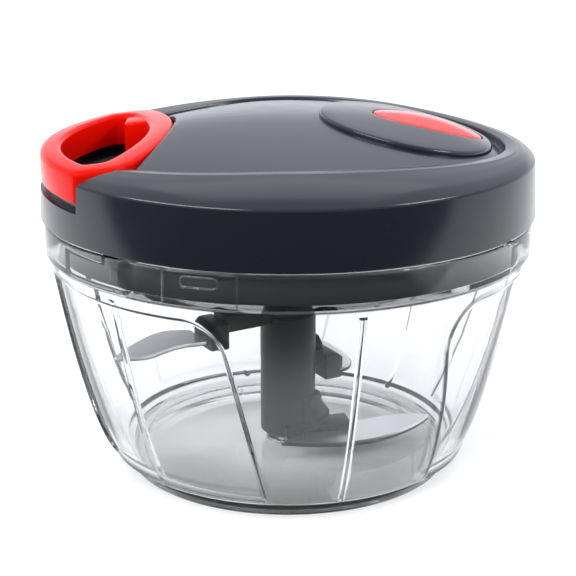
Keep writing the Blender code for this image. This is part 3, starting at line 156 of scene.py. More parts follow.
@dataclass(frozen=True)
class MouldedPlastic:
    """Injection-moulded plastic with a fine sparked grain and the faint marks of handling."""

    name: str
    colour: str
    worn_colour: str
    roughness: float
    spread: float = 0.06
    specular: float = 0.5
    grain_mm: float = 0.45
    grain_height_mm: float = 0.006
    cloud_mm: float = 22.0
    scratch_mm: float = 1.4
    ior: float = 1.5

    def material(self) -> bpy.types.Material:
        """Builds the node material.

        Returns:
            The material.
        """
        material, tree, place = start_tree(self.name)
        cloud = add_node(tree, "ShaderNodeTexNoise", {"Scale": per_mm(self.cloud_mm), "Detail": 4.0},
                         {"Vector": place})
        tint = add_node(tree, "ShaderNodeMix", {"A": linear(self.colour), "B": linear(self.worn_colour)},
                        {"Factor": cloud.outputs["Fac"]}, data_type="RGBA")
        streaks = add_node(tree, "ShaderNodeMapping", {"Scale": (1.0, 1.0, 6.0), "Rotation": (0.4, 0.2, 0.9)},
                           {"Vector": place})
        scratch = add_node(tree, "ShaderNodeTexNoise", {"Scale": per_mm(self.scratch_mm * 6), "Detail": 6.0},
                           {"Vector": streaks.outputs["Vector"]})
        rough = add_node(tree, "ShaderNodeMapRange",
                         {"From Min": 0.3, "From Max": 0.7, "To Min": self.roughness - self.spread,
                          "To Max": self.roughness + self.spread}, {"Value": scratch.outputs["Fac"]})
        grain = add_node(tree, "ShaderNodeTexNoise", {"Scale": per_mm(self.grain_mm), "Detail": 3.0},
                         {"Vector": place})
        bump = add_node(tree, "ShaderNodeBump", {"Strength": 0.5, "Distance": self.grain_height_mm * MM},
                        {"Height": grain.outputs["Fac"]})
        shader = add_node(tree, "ShaderNodeBsdfPrincipled",
                          {"IOR": self.ior, "Specular IOR Level": self.specular},
                          {"Base Color": tint.outputs["Result"], "Roughness": rough.outputs["Result"],
                           "Normal": bump.outputs["Normal"]})
        add_node(tree, "ShaderNodeOutputMaterial", links={"Surface": shader.outputs["BSDF"]})
        return material


@dataclass(frozen=True)
class ClearPlastic:
    """Clear styrene acrylonitrile, moulded against a polished tool: glassy, with faint flow lines."""

    name: str
    colour: str
    roughness: float = 0.012
    ior: float = 1.46
    # Colour of the painted shade in the creases, the floor and the band's step
    crease_colour: str = "#0d0e0f"
    flow_mm: float = 16.0
    flow_height_mm: float = 0.01

    def material(self) -> bpy.types.Material:
        """Builds the node material. Rays from lamps pass straight through, so the inside is lit.

        Returns:
            The material.
        """
        material, tree, place = start_tree(self.name)
        drawn = add_node(tree, "ShaderNodeMapping", {"Scale": (1.0, 1.0, 0.3)}, {"Vector": place})
        flow = add_node(tree, "ShaderNodeTexNoise", {"Scale": per_mm(self.flow_mm), "Detail": 1.0},
                        {"Vector": drawn.outputs["Vector"]})
        bump = add_node(tree, "ShaderNodeBump", {"Strength": 0.35, "Distance": self.flow_height_mm * MM},
                        {"Height": flow.outputs["Fac"]})
        rub = add_node(tree, "ShaderNodeTexNoise", {"Scale": per_mm(self.flow_mm / 2), "Detail": 6.0},
                       {"Vector": place})
        rough = add_node(tree, "ShaderNodeMapRange",
                         {"From Min": 0.45, "From Max": 0.8, "To Min": self.roughness,
                          "To Max": self.roughness * 3}, {"Value": rub.outputs["Fac"]})
        # Painted shade: the bowl's per-vertex mask darkens the base colour in the creases, the floor and the
        # band's step
        crease = add_node(tree, "ShaderNodeAttribute", attribute_name="crease")
        tint = add_node(tree, "ShaderNodeMix", {"A": linear(self.colour), "B": linear(self.crease_colour)},
                        {"Factor": crease.outputs["Fac"]}, data_type="RGBA")
        shader = add_node(tree, "ShaderNodeBsdfPrincipled", {"IOR": self.ior, "Transmission Weight": 1.0},
                          {"Base Color": tint.outputs["Result"], "Roughness": rough.outputs["Result"],
                           "Normal": bump.outputs["Normal"]})
        passing = add_node(tree, "ShaderNodeBsdfTransparent", {"Color": (0.93, 0.93, 0.93, 1.0)})
        lamp = add_node(tree, "ShaderNodeLightPath")
        mix = add_node(tree, "ShaderNodeMixShader", links={0: lamp.outputs["Is Shadow Ray"],
                                                           1: shader.outputs["BSDF"],
                                                           2: passing.outputs["BSDF"]})
        add_node(tree, "ShaderNodeOutputMaterial", links={"Surface": mix.outputs["Shader"]})
        return material


class Grind(Enum):
    """How the lines of a steel surface run: the Mapping scale that draws them out."""

    ACROSS = (14.0, 1.0, 14.0)
    TURNED = (6.0, 6.0, 60.0)


@dataclass(frozen=True)
class GroundSteel:
    """Stainless steel with the fine lines that its grinding or turning left."""

    name: str
    colour: str
    dull_colour: str
    roughness: float
    grind: Grind
    line_mm: float = 0.5
    line_height_mm: float = 0.002
    # Colour of the painted shade on a blade's cut edge and underside
    painted_edge_shade_colour: str = "#1f2123"

    def material(self) -> bpy.types.Material:
        """Builds the node material. The lines are drawn coarser than real ones, so that they show.

        Returns:
            The material.
        """
        material, tree, place = start_tree(self.name)
        drawn = add_node(tree, "ShaderNodeMapping", {"Scale": self.grind.value}, {"Vector": place})
        lines = add_node(tree, "ShaderNodeTexNoise", {"Scale": per_mm(self.line_mm * 14), "Detail": 5.0},
                         {"Vector": drawn.outputs["Vector"]})
        tint = add_node(tree, "ShaderNodeMix", {"A": linear(self.dull_colour), "B": linear(self.colour)},
                        {"Factor": lines.outputs["Fac"]}, data_type="RGBA")
        # Painted shade: the blade's per-vertex mask darkens its cut edge and underside
        cut = add_node(tree, "ShaderNodeAttribute", attribute_name="painted_edge_shade")
        edge = add_node(tree, "ShaderNodeMix", {"B": linear(self.painted_edge_shade_colour)},
                        {"Factor": cut.outputs["Fac"], "A": tint.outputs["Result"]}, data_type="RGBA")
        rough = add_node(tree, "ShaderNodeMapRange",
                         {"From Min": 0.3, "From Max": 0.7, "To Min": self.roughness * 0.9,
                          "To Max": self.roughness * 1.12}, {"Value": lines.outputs["Fac"]})
        bump = add_node(tree, "ShaderNodeBump", {"Strength": 0.1, "Distance": self.line_height_mm * MM},
                        {"Height": lines.outputs["Fac"]})
        shader = add_node(tree, "ShaderNodeBsdfPrincipled", {"Metallic": 1.0},
                          {"Base Color": edge.outputs["Result"], "Roughness": rough.outputs["Result"],
                           "Normal": bump.outputs["Normal"]})
        add_node(tree, "ShaderNodeOutputMaterial", links={"Surface": shader.outputs["BSDF"]})
        return material


@dataclass(frozen=True)
class Silicone:
    """Moulded silicone rubber: milky, soft to the light and slightly dusty."""

    name: str
    colour: str
    dust_colour: str
    roughness: float = 0.55

    def material(self) -> bpy.types.Material:
        """Builds the node material.

        Returns:
            The material.
        """
        material, tree, place = start_tree(self.name)
        dust = add_node(tree, "ShaderNodeTexNoise", {"Scale": per_mm(1.2), "Detail": 6.0}, {"Vector": place})
        tint = add_node(tree, "ShaderNodeMix", {"A": linear(self.colour), "B": linear(self.dust_colour)},
                        {"Factor": dust.outputs["Fac"]}, data_type="RGBA")
        shader = add_node(tree, "ShaderNodeBsdfPrincipled",
                          {"Roughness": self.roughness, "IOR": 1.41, "Sheen Weight": 0.1},
                          {"Base Color": tint.outputs["Result"]})
        add_node(tree, "ShaderNodeOutputMaterial", links={"Surface": shader.outputs["BSDF"]})
        return material


@dataclass(frozen=True)
class BraidedCord:
    """Braided polyester: two sets of strands that cross at a steep angle round the cord."""

    name: str
    colour: str
    gap_colour: str
    strand_mm: float = 0.5

    def material(self) -> bpy.types.Material:
        """Builds the node material from two crossing sets of bands.

        Returns:
            The material.
        """
        material, tree, place = start_tree(self.name)
        bands = []
        for turn in (0.9, -0.9):
            turned_place = add_node(tree, "ShaderNodeMapping", {"Rotation": (turn, turn, turn)},
                                    {"Vector": place})
            band = add_node(tree, "ShaderNodeTexWave", {"Scale": per_mm(self.strand_mm) / 20 * math.pi},
                            {"Vector": turned_place.outputs["Vector"]}, wave_type="BANDS")
            bands.append(band.outputs["Fac"])
        weave = add_node(tree, "ShaderNodeMath", links={0: bands[0], 1: bands[1]}, operation="MAXIMUM")
        tint = add_node(tree, "ShaderNodeMix", {"A": linear(self.gap_colour), "B": linear(self.colour)},
                        {"Factor": weave.outputs["Value"]}, data_type="RGBA")
        bump = add_node(tree, "ShaderNodeBump", {"Strength": 0.8, "Distance": 0.1 * MM},
                        {"Height": weave.outputs["Value"]})
        shader = add_node(tree, "ShaderNodeBsdfPrincipled", {"Roughness": 0.6, "Sheen Weight": 0.3},
                          {"Base Color": tint.outputs["Result"], "Normal": bump.outputs["Normal"]})
        add_node(tree, "ShaderNodeOutputMaterial", links={"Surface": shader.outputs["BSDF"]})
        return material


class Finishes:
    """All finishes of the chopper, made once and shared by its pieces."""

    def __init__(self) -> None:
        """Makes each finish."""
        # Satin moulded ABS: dark, with a soft sheen that lifts where it faces the sky
        self.slate = MouldedPlastic("abs_slate_satin", "#161a22", "#191d25", roughness=0.2, spread=0.02,
                                    specular=0.44).material()
        # Painted light: the charcoal plastic made paler on the base plate, so that its ring reads lighter
        # through the band
        self.base = MouldedPlastic("abs_charcoal_painted_paler", "#393d40", "#3e4144", roughness=0.4, spread=0.04,
                                   specular=0.3).material()
        # The same plastic without grain, as seen through the bowl: flat and quiet
        self.dark = MouldedPlastic("abs_charcoal_moulded", "#161819", "#191b1c", roughness=0.38,
                                   spread=0.04, specular=0.2).material()
        # Polished ABS: saturated red with a thin gloss
        self.red = MouldedPlastic("abs_red_polished", "#e21203", "#da0e02", roughness=0.16, spread=0.02,
                                  specular=0.08, grain_mm=3.0, grain_height_mm=0.003, ior=1.4).material()
        # The insert's deeper polish, which mirrors the light behind
        self.insert = MouldedPlastic("abs_red_mirror", "#f81403", "#f01002", roughness=0.1, spread=0.02,
                                     specular=0.6, grain_mm=3.0, grain_height_mm=0.003).material()
        # Acetal: waxy white with little shine
        self.white = MouldedPlastic("acetal_white_moulded", "#e6e6e2", "#dcdcd6", roughness=0.45).material()
        # Clear styrene acrylonitrile: glassy with a faint haze, and painted shade in its creases, floor and
        # band step
        self.clear = ClearPlastic("san_clear_moulded", "#f4f5f5").material()
        # Silicone: milky and matt
        self.silicone = Silicone("silicone_seal_moulded", "#c9ccce", "#bfc2c4").material()
        # Turned and plated steel of the pin, axle, clip and screws: bright with fine rings
        self.steel = GroundSteel("steel_turned", "#c8c9ca", "#b2b3b5", roughness=0.28,
                                 grind=Grind.TURNED).material()
        # Blade steel ground across its length: soft grey sheen, with painted shade on its cut edge and
        # underside
        self.blade = GroundSteel("stainless_blade_ground", "#f4f4f4", "#eaeaea", roughness=0.3,
                                 grind=Grind.ACROSS, line_mm=0.12).material()
        # Braided polyester: white strands with grey gaps
        self.cord = BraidedCord("polyester_braid", "#eeeeea", "#9a9a96").material()


# Shapes

def smooth_step(low: float, high: float, value: float) -> float:
    """Eases from 0 at low to 1 at high."""
    share = min(1.0, max(0.0, (value - low) / (high - low)))
    return share * share * (3 - 2 * share)


def read_table(table: Sequence[tuple[float, float]], value: float) -> float:
    """Reads a value from a table of pairs, straight between two of them.

    Args:
        table: Pairs in rising order of their first number.
        value: Where to read.

    Returns:
        The second number there.
    """
    if value <= table[0][0]:
        return table[0][1]
    for (low, first), (high, last) in zip(table, table[1:]):
        if value <= high:
            return first + (last - first) * (value - low) / (high - low)
    return table[-1][1]


def polar(radius: float, azimuth: float, z: float = 0.0) -> Vector:
    """A point at an azimuth in degrees, counted from +X."""
    angle = math.radians(azimuth)
    return Vector((radius * math.cos(angle), radius * math.sin(angle), z))


def softened(corners: Sequence[Triple], steps: int = 4,
             closed: bool = False) -> list[Vector]:
    """Rounds the corners of a path.

    Args:
        corners: Each corner's two coordinates and the radius it is rounded to.
        steps: Spans in each rounding.
        closed: Whether the path returns to its start.

    Returns:
        The points of the path.
    """
    points = []
    count = len(corners)
    for index, (x, y, radius) in enumerate(corners):
        corner = Vector((x, y))
        if radius <= 0 or (not closed and index in (0, count - 1)):
            points.append(corner)
            continue
        into = (Vector(corners[index - 1][:2]) - corner).normalized()
        out = (Vector(corners[(index + 1) % count][:2]) - corner).normalized()
        half = into.angle(out) / 2
        middle = corner + (into + out).normalized() * (radius / math.sin(half))
        first = (corner + into * (radius / math.tan(half)) - middle).normalized()
        last = (corner + out * (radius / math.tan(half)) - middle).normalized()
        points += [middle + first.slerp(last, k / steps) * radius for k in range(steps + 1)]
    return points


def smoothed(points: Sequence[Vector], steps: int) -> list[Vector]:
    """Draws a smooth open curve through points.

    Args:
        points: What it runs through.
        steps: Spans between two of them.

    Returns:
        The points of the curve.
    """
    ends = [points[0] * 2 - points[1], *points, points[-1] * 2 - points[-2]]
    curve = []
    for before, here, there, after in zip(ends, ends[1:], ends[2:], ends[3:]):
        lead = here + (there - before) / 6
        follow = there - (after - here) / 6
        curve += cubic(here, lead, follow, there, steps)
    return curve + [points[-1]]


def cubic(start: Vector, lead: Vector, follow: Vector, end: Vector, steps: int) -> list[Vector]:
    """Points on a cubic curve, without its last one."""
    shares = [k / steps for k in range(steps)]
    return [start * (1 - t) ** 3 + lead * (3 * (1 - t) ** 2 * t) + follow * (3 * (1 - t) * t * t)
            + end * t ** 3 for t in shares]


def spun(profile: Sequence[Sequence[float]], steps: int, axis: Sequence[float] = (0, 0, 1),
         centre: Sequence[float] = (0, 0, 0), start_deg: float = 0.0) -> Shape:
    """Spins a profile about an axis.

    Args:
        profile: Pairs of radius and height. One that starts off the axis is closed on itself.
        steps: Spans of the full turn.
        axis: Direction of the axis.
        centre: A point of the axis, at height zero.
        start_deg: Azimuth of the first column, for an upright axis.

    Returns:
        The closed shape.
    """
    bm = bmesh.new()
    direction = Vector(axis)
    across = polar(1.0, start_deg) if direction.z == 1 else Vector((0, 0, 1))
    verts = [bm.verts.new(Vector(centre) + across * radius + direction * height)
             for radius, height in profile]
    edges = [bm.edges.new(pair) for pair in zip(verts, verts[1:])]
    if profile[0][0] > 0:
        edges.append(bm.edges.new((verts[-1], verts[0])))
    bmesh.ops.spin(bm, geom=verts + edges, cent=centre, axis=direction, angle=2 * math.pi, steps=steps,
                   use_merge=True)
    bmesh.ops.remove_doubles(bm, verts=bm.verts, dist=MERGE_DISTANCE)
    bmesh.ops.recalc_face_normals(bm, faces=bm.faces)
    return bm


def ringed(rings: Sequence[Sequence[Vector]], closed: bool = False) -> Shape:
    """Extrudes a closed outline from ring to ring.

    Args:
        rings: Outlines of the same number of points, in order.
        closed: Whether the last ring is joined to the first, as in a loop of solid section.

    Returns:
        The shape, capped at both ends unless it is closed.
    """
    bm = bmesh.new()
    verts = [bm.verts.new(point) for point in rings[0]]
    edges = [bm.edges.new((verts[k - 1], verts[k])) for k in range(len(verts))]
    first_edges = list(edges)
    for ring in rings[1:]:
        made = bmesh.ops.extrude_edge_only(bm, edges=edges)["geom"]
        edges = [item for item in made if isinstance(item, bmesh.types.BMEdge)]
        moved = {}
        for old, new in zip(verts, step_pairs(verts, made)):
            moved[old] = new
        verts = [moved[old] for old in verts]
        edges = [edge for edge in edges if all(v in set(verts) for v in edge.verts)]
        for vert, point in zip(verts, ring):
            vert.co = point
    if closed:
        bmesh.ops.bridge_loops(bm, edges=first_edges + edges)
    else:
        bmesh.ops.contextual_create(bm, geom=first_edges)
        bmesh.ops.contextual_create(bm, geom=edges)
    bmesh.ops.recalc_face_normals(bm, faces=bm.faces)
    return bm


def verts_of(made: Sequence[object]) -> list[Vert]:
    """The vertices among what an operator made."""
    return [item for item in made if isinstance(item, Vert)]


def step_pairs(verts: Sequence[Vert], made: Sequence[object]) -> list[Vert]:
    """The new vertex over each old one after an extrusion."""
    fresh = set(verts_of(made))
    return [next(edge.other_vert(old) for edge in old.link_edges if edge.other_vert(old) in fresh)
            for old in verts]


def prism(outline: Sequence[Sequence[float]], low: float, high: float) -> Shape:
    """Extrudes a plan outline between two heights.

    Args:
        outline: Plan points, in order.
        low: Height of its foot.
        high: Height of its top.

    Returns:
        The shape.
    """
    bm = bmesh.new()
    face = bm.faces.new([bm.verts.new((p[0], p[1], low)) for p in outline])
    made = bmesh.ops.extrude_face_region(bm, geom=[face])["geom"]
    bmesh.ops.translate(bm, verts=verts_of(made), vec=(0, 0, high - low))
    bmesh.ops.recalc_face_normals(bm, faces=bm.faces)
    return bm


def bevelled(bm: Shape, width: float, segments: int = 3,
             least_deg: float = 28.0) -> Shape:
    """Rounds all edges sharper than an angle.

    Args:
        bm: The shape.
        width: Width of the rounding.
        segments: Spans across it.
        least_deg: The least angle between two faces that is rounded.

    Returns:
        The same shape.
    """
    least = math.radians(least_deg)
    edges = [e for e in bm.edges if len(e.link_faces) == 2 and e.calc_face_angle(0.0) > least]
    bmesh.ops.bevel(bm, geom=edges, offset=width, offset_type="OFFSET", affect="EDGES", segments=segments,
                    profile=0.5, material=-1, clamp_overlap=True)
    bmesh.ops.recalc_face_normals(bm, faces=bm.faces)
    return bm


def shaped(bm: Shape, move: Callable[[float, float, float], Triple]) -> None:
    """Moves each vertex of a spun shape.

    Args:
        bm: The shape.
        move: Takes a vertex's radius, azimuth in degrees and height, and returns its new ones.
    """
    for vert in bm.verts:
        radius = vert.co.xy.length
        azimuth = math.degrees(math.atan2(vert.co.y, vert.co.x))
        vert.co = polar(*move(radius, azimuth, vert.co.z))


def grown(outline: Sequence[Vector], distance: float) -> list[Vector]:
    """Moves a closed plan outline outwards by a distance.

    Args:
        outline: Plan points, in order.
        distance: How far, inwards where it is below zero.

    Returns:
        The moved outline.
    """
    count = len(outline)
    area = sum(outline[k - 1].x * outline[k].y - outline[k].x * outline[k - 1].y for k in range(count))
    side = 1.0 if area > 0 else -1.0
    moved = []
    for k, point in enumerate(outline):
        before = (point - outline[k - 1]).normalized()
        after = (outline[(k + 1) % count] - point).normalized()
        normal = Vector((before.y + after.y, -before.x - after.x)) * side
        moved.append(point + normal * (distance / (1 + before.dot(after))))
    return moved


def tube_rings(path: Sequence[Vector], radius: float, sides: int = 12) -> list[list[Vector]]:
    """Circles along a path, kept from twisting.

    Args:
        path: Points along the middle of the tube.
        radius: Radius of the tube.
        sides: Points in each circle.

    Returns:
        The rings.
    """
    rings = []
    up = Vector((0, 0, 1))
    for k, point in enumerate(path):
        along = (path[min(k + 1, len(path) - 1)] - path[max(k - 1, 0)]).normalized()
        side = along.cross(up).normalized()
        up = side.cross(along).normalized()
        rings.append([point + (side * math.cos(a) + up * math.sin(a)) * radius
                      for a in [2 * math.pi * n / sides for n in range(sides)]])
    return rings


def evaluated(piece: Piece) -> None:
    """Applies an object's modifiers to its mesh.

    Args:
        piece: The object.
    """
    bpy.context.view_layer.update()
    mesh = bpy.data.meshes.new_from_object(piece.evaluated_get(bpy.context.evaluated_depsgraph_get()))
    piece.modifiers.clear()
    piece.data = mesh


def carved(piece: Piece, tools: Sequence[Shape]) -> None:
    """Cuts shapes out of a piece.

    Args:
        piece: What is cut.
        tools: The shapes that are taken away, one after another.
    """
    for tool in tools:
        mesh = bpy.data.meshes.new("tool")
        tool.to_mesh(mesh)
        tool.free()
        cutter = bpy.data.objects.new("tool", mesh)
        bpy.context.scene.collection.objects.link(cutter)
        modifier = piece.modifiers.new("cut", "BOOLEAN")
        modifier.operation = "DIFFERENCE"
        modifier.solver = "EXACT"
        modifier.object = cutter
        evaluated(piece)
        bpy.data.objects.remove(cutter)


def new_object(name: str, bm: Shape) -> Piece:
    """Turns a shape into an object.

    Args:
        name: Its name.
        bm: Its shape, which is used up.

    Returns:
        The object, in the scene.
    """
    mesh = bpy.data.meshes.new(name)
    bm.to_mesh(mesh)
    bm.free()
    item = bpy.data.objects.new(name, mesh)
    bpy.context.scene.collection.objects.link(item)
    return item


def dressed(piece: Piece, material: bpy.types.Material, body: Body | None,
            replaces: Sequence[str] = (), smooth_deg: float = 32.0) -> Piece:
    """Shades a piece, gives it its finish and ties it to its body.

    Args:
        piece: The piece, in its place.
        material: Its finish.
        body: The body it rides on, or None for one that rides on none.
        replaces: The solids it stands for.
        smooth_deg: Edges sharper than this stay sharp.

    Returns:
        The same piece.
    """
    piece.data.materials.clear()
    piece.data.materials.append(material)
    piece.data.shade_smooth()
    piece.data.set_sharp_from_angle(angle=math.radians(smooth_deg))
    if body is not None:
        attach(piece, body.value)
    if replaces:
        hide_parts(*replaces)
    LOG.info("%s: %d faces", piece.name, len(piece.data.polygons))
    return piece


# Bowl

@dataclass
class ClearBowl:
    """The clear bowl: foot ring, swept wall with three sunk panels and six ribs, and a straight band."""

    finishes: Finishes
    rim_z: float = 0.0690
    band_z: float = 0.0604
    band_radius: float = 0.0642
    rim_soft: float = 0.0009
    body_top_radius: float = 0.0632
    body_top_z: float = 0.0594
    body_foot_radius: float = 0.0468
    body_foot_z: float = 0.0044
    foot_radius: float = 0.0436
    foot_width: float = 0.0026
    foot_height: float = 0.0034
    floor_z: float = 0.0032
    recess: float = 0.0010
    wall: float = 0.0022
    floor_inset: float = 0.0030
    curve: float = 0.58
    panel_azimuth: float = -133.5
    panel_half: float = 32.4
    panel_top: float = 0.0560
    panel_corner: float = 0.0085
    right_corner: float = 0.0130
    panel_sink: float = 0.0012
    panel_edge: float = 0.0015
    panel_foot: tuple[float, float] = (0.0050, 0.0072)
    swirl_deg: float = 10.5
    edge_azimuth: float = -45.9
    edge_span: tuple[float, float] = (8.0, 30.0)
    edge_shift: tuple[float, float] = (-3.0, -1.2)
    # Painted shade along the panels' steep edges: how far past the right panel it reaches, how faint it is on
    # the back and where it grows towards the front
    near_shade_reach: float = 0.0012
    back_painted_shade: float = 0.22
    front_shade_span: tuple[float, float] = (0.35, 0.72)
    rib_height: float = 0.0011
    rib_half: float = 0.0009
    rib_top: float = 0.0568
    pad_offset: float = 25.0
    pad_half: float = 8.1
    pad_raise: float = 0.00035
    ledge_radius: float = 0.0620
    ledge_z: float = 0.0666
    channel_deep: float = 0.0010
    entry: tuple[float, float] = (0.4, 5.6)
    track: tuple[float, float] = (-14.6, 5.6)
    boss_radius: float = 0.0055
    boss_height: float = 0.0018
    pin_hole: float = 0.0022
    pin_floor: float = 0.0026
    columns: int = 720
    slot_length: float = 0.0092
    slot_height: float = 0.0026
    slot_z: float = 0.0664
    slot_line: float = 0.00026
    # Painted shade in the floor, darker towards the front, and on the band's step
    painted_shade_top: float = 0.0062
    floor_painted_shade: tuple[float, float] = (0.08, 0.76)
    floor_painted_shade_span: tuple[float, float] = (-0.020, 0.036)
    step_painted_shade: float = 0.8
    step_span: tuple[float, float] = (0.0001, 0.0003)
    step_reach: float = 0.0002
    foot_flare: float = 0.0005
    foot_round: float = 0.0008
    inner_round: float = 0.0005
    edge_round: float = 0.0004
    band_round: float = 0.0003
    ledge_round: float = 0.0002
    hole_round: float = 0.0001
    ledge_split: float = 0.00001
    ledge_drop: float = 0.0004
    track_rise: float = 0.0010
    track_margin: float = 0.0006
    track_ease: float = 1.6
    boss_flare: float = 0.0003
    boss_margin: float = 0.0010
    floor_rise: float = 0.0002
    foot_margin: float = 0.0004
    rib_foot: tuple[float, float] = (0.0036, 0.0070)
    rib_fade: float = 0.0007
    pad_ease: float = 0.5
    pad_foot: float = 0.0004
    slot_round_share: float = 0.98
    column_shares: tuple[tuple[float, float], ...] = (
        (0.0, -60.0), (0.0333, -58.0), (0.1417, -34.0), (0.4167, -15.0), (0.4667, -2.0), (0.5333, 2.0),
        (0.5833, 15.0), (0.8583, 34.0), (0.9667, 58.0), (1.0, 60.0))

    def outer_radius(self, z: float) -> float:
        """Radius of the wall's outside at a height."""
        share = max(0.0, (z - self.body_foot_z) / (self.body_top_z - self.body_foot_z))
        return self.body_foot_radius + (self.body_top_radius - self.body_foot_radius) * share ** self.curve

    def inner_radius(self, z: float) -> float:
        """Radius of the wall's inside at a height."""
        foot = self.body_foot_radius - self.wall - self.floor_inset
        share = max(0.0, (z - self.floor_z) / (self.body_top_z - self.floor_z))
        return foot + (self.body_top_radius - self.wall - foot) * share ** self.curve

    def heights(self, low: float, high: float) -> list[float]:
        """Heights of the wall's rows: close at the foot, where it sweeps out, and along the arches."""
        rows = [low + (high - low) * 0.8 * (k / 22) ** 2 for k in range(23)]
        fine = rows[-1]
        return rows + [fine + (high - fine) * (k + 1) / 24 for k in range(24)]

    def profile(self) -> list[Vector]:
        """The section from the underside out, up the wall, over the rim and down inside.

        Returns:
            Points of radius and height.
        """
        foot_in = self.foot_radius - self.foot_width
        soft = self.rim_soft
        path = softened([(0, self.recess, 0), (foot_in - soft, self.recess, self.edge_round),
                         (foot_in, 0, self.inner_round), (self.foot_radius, 0, self.foot_round),
                         (self.foot_radius + self.foot_flare, self.foot_height, self.edge_round),
                         (self.body_foot_radius, self.body_foot_z, 0)])[:-1]
        path += [Vector((self.outer_radius(z), z)) for z in self.heights(self.body_foot_z, self.body_top_z)]
        ledge, track = self.ledge_radius, self.ledge_radius - self.ledge_split
        path += softened([(self.body_top_radius, self.body_top_z, 0),
                          (self.band_radius, self.band_z, self.band_round),
                          (self.band_radius, self.rim_z, soft), (ledge, self.rim_z, self.band_round),
                          (ledge, self.ledge_z, self.ledge_round),
                          (track, self.ledge_z - self.ledge_drop, 0),
                          (track, self.band_z + self.track_rise, self.band_round),
                          (self.body_top_radius - self.wall, self.body_top_z, 0)])[1:-1]
        path += [Vector((self.inner_radius(z), z)) for z in
                 reversed(self.heights(self.floor_z + self.floor_rise, self.body_top_z))]
        boss_top = self.floor_z + self.boss_height
        path += softened([(self.inner_radius(self.floor_z), self.floor_z, 0),
                          (self.boss_radius + self.boss_flare, self.floor_z, self.inner_round),
                          (self.boss_radius, boss_top, self.edge_round),
                          (self.pin_hole, boss_top, self.hole_round),
                          (self.pin_hole, self.pin_floor, 0), (0, self.pin_floor, 0)])
        return path

    def swirl(self, azimuth: float, z: float) -> float:
        """How far the outer wall's columns lean round at a place, in degrees.

        Args:
            azimuth: Azimuth of the column before it leans.
            z: Height.

        Returns:
            The lean, with an even shift round the right panel's near edge.
        """
        share = (z - self.body_foot_z) / (self.body_top_z - self.body_foot_z)
        lean = self.swirl_deg * (0.5 - min(1.0, max(0.0, share)))
        away = abs((azimuth - self.edge_azimuth + 180.0) % 360.0 - 180.0)
        shift = self.edge_shift[0] + (self.edge_shift[1] - self.edge_shift[0]) * min(1.0, max(0.0, 2 * share))
        return lean + shift * (1.0 - smooth_step(*self.edge_span, away))

    def sector(self, azimuth: float) -> float:
        """Degrees from the middle of the nearest panel."""
        return (azimuth - self.panel_azimuth + 60.0) % 120.0 - 60.0

    def panel_depth(self, base: float, offset: float, z: float, reach: float = 0.0) -> float:
        """Share of the panel's depth at a place of the wall.

        Args:
            base: Azimuth of the panel's middle.
            offset: Degrees from the panel's middle, along the leaning columns.
            z: Height.
            reach: How far outside its own outline the panel is taken to begin.

        Returns:
            0 outside the panel, 1 on its floor.
        """
        corner = self.right_corner if abs(base) < 60.0 else self.panel_corner
        across = math.radians(abs(offset)) * self.body_top_radius
        along = across - (math.radians(self.panel_half) * self.body_top_radius - corner)
        up = z - (self.panel_top - corner)
        if along > 0 and up > 0:
            inside = corner - math.hypot(along, up) + reach
        else:
            inside = corner - max(along, up) + reach
        edge = self.panel_edge * (1.4 - 0.5 * z / self.body_top_z) + reach
        return smooth_step(-edge / 2, edge / 2, inside) * smooth_step(*self.panel_foot, z)

    def crease(self, radius: float, azimuth: float, z: float) -> float:
        """How much painted shade darkens the wall: in the floor, on the panels' steep edges and on the band's
        step.

        Args:
            radius: Radius before the wall is shaped.
            azimuth: Azimuth in degrees before the wall is shaped.
            z: Height.

        Returns:
            0 on the plain wall, up to 1 where the painted shade is darkest.
        """
        # Painted shade in the floor, darkest towards the front
        if z < self.painted_shade_top and radius > self.boss_radius + self.boss_margin:
            forward = -radius * math.sin(math.radians(azimuth))
            least, most = self.floor_painted_shade
            painted_floor_shade = least + (most - least) * smooth_step(*self.floor_painted_shade_span, forward)
            return painted_floor_shade * (1 - smooth_step(self.painted_shade_top / 2, self.painted_shade_top, z))
        if radius < (self.outer_radius(z) + self.inner_radius(z)) / 2:
            return 0.0
        step_low, step_high = self.body_top_z - self.step_span[0], self.band_z + self.step_span[1]
        if step_low < z < step_high and radius > self.body_top_radius - self.step_reach:
            return self.step_painted_shade
        if not self.body_foot_z < z < self.body_top_z:
            return 0.0
        offset = read_table(self.column_shares, (self.sector(azimuth) + 60.0) / 120.0)
        base = azimuth - self.sector(azimuth)
        depth = self.panel_depth(base, offset, z, self.near_shade_reach if abs(base) < 60.0 else 0.0)
        # Painted shade on the panel edges is stronger on the front of the bowl than on its back
        front = smooth_step(*self.front_shade_span, -math.sin(math.radians(base + offset)))
        share = self.back_painted_shade + (1 - self.back_painted_shade) * front
        return min(1.0, 6 * depth * (1 - depth)) * share * smooth_step(*self.panel_foot, z)

    def rib(self, offset: float, z: float, radius: float) -> float:
        """How far a rib stands out from the inside of the wall.

        Args:
            offset: Degrees from the middle of a panel.
            z: Height.
            radius: Radius of the wall's inside.

        Returns:
            The rib's height there.
        """
        away = min(abs(offset), 60.0 - abs(offset))
        distance = math.radians(away) * radius / self.rib_half
        if distance >= 1:
            return 0.0
        top = 1.0 - smooth_step(self.rib_top, self.rib_top + self.rib_fade, z)
        return self.rib_height * math.sqrt(1 - distance ** 2) * (smooth_step(*self.rib_foot, z) * top)

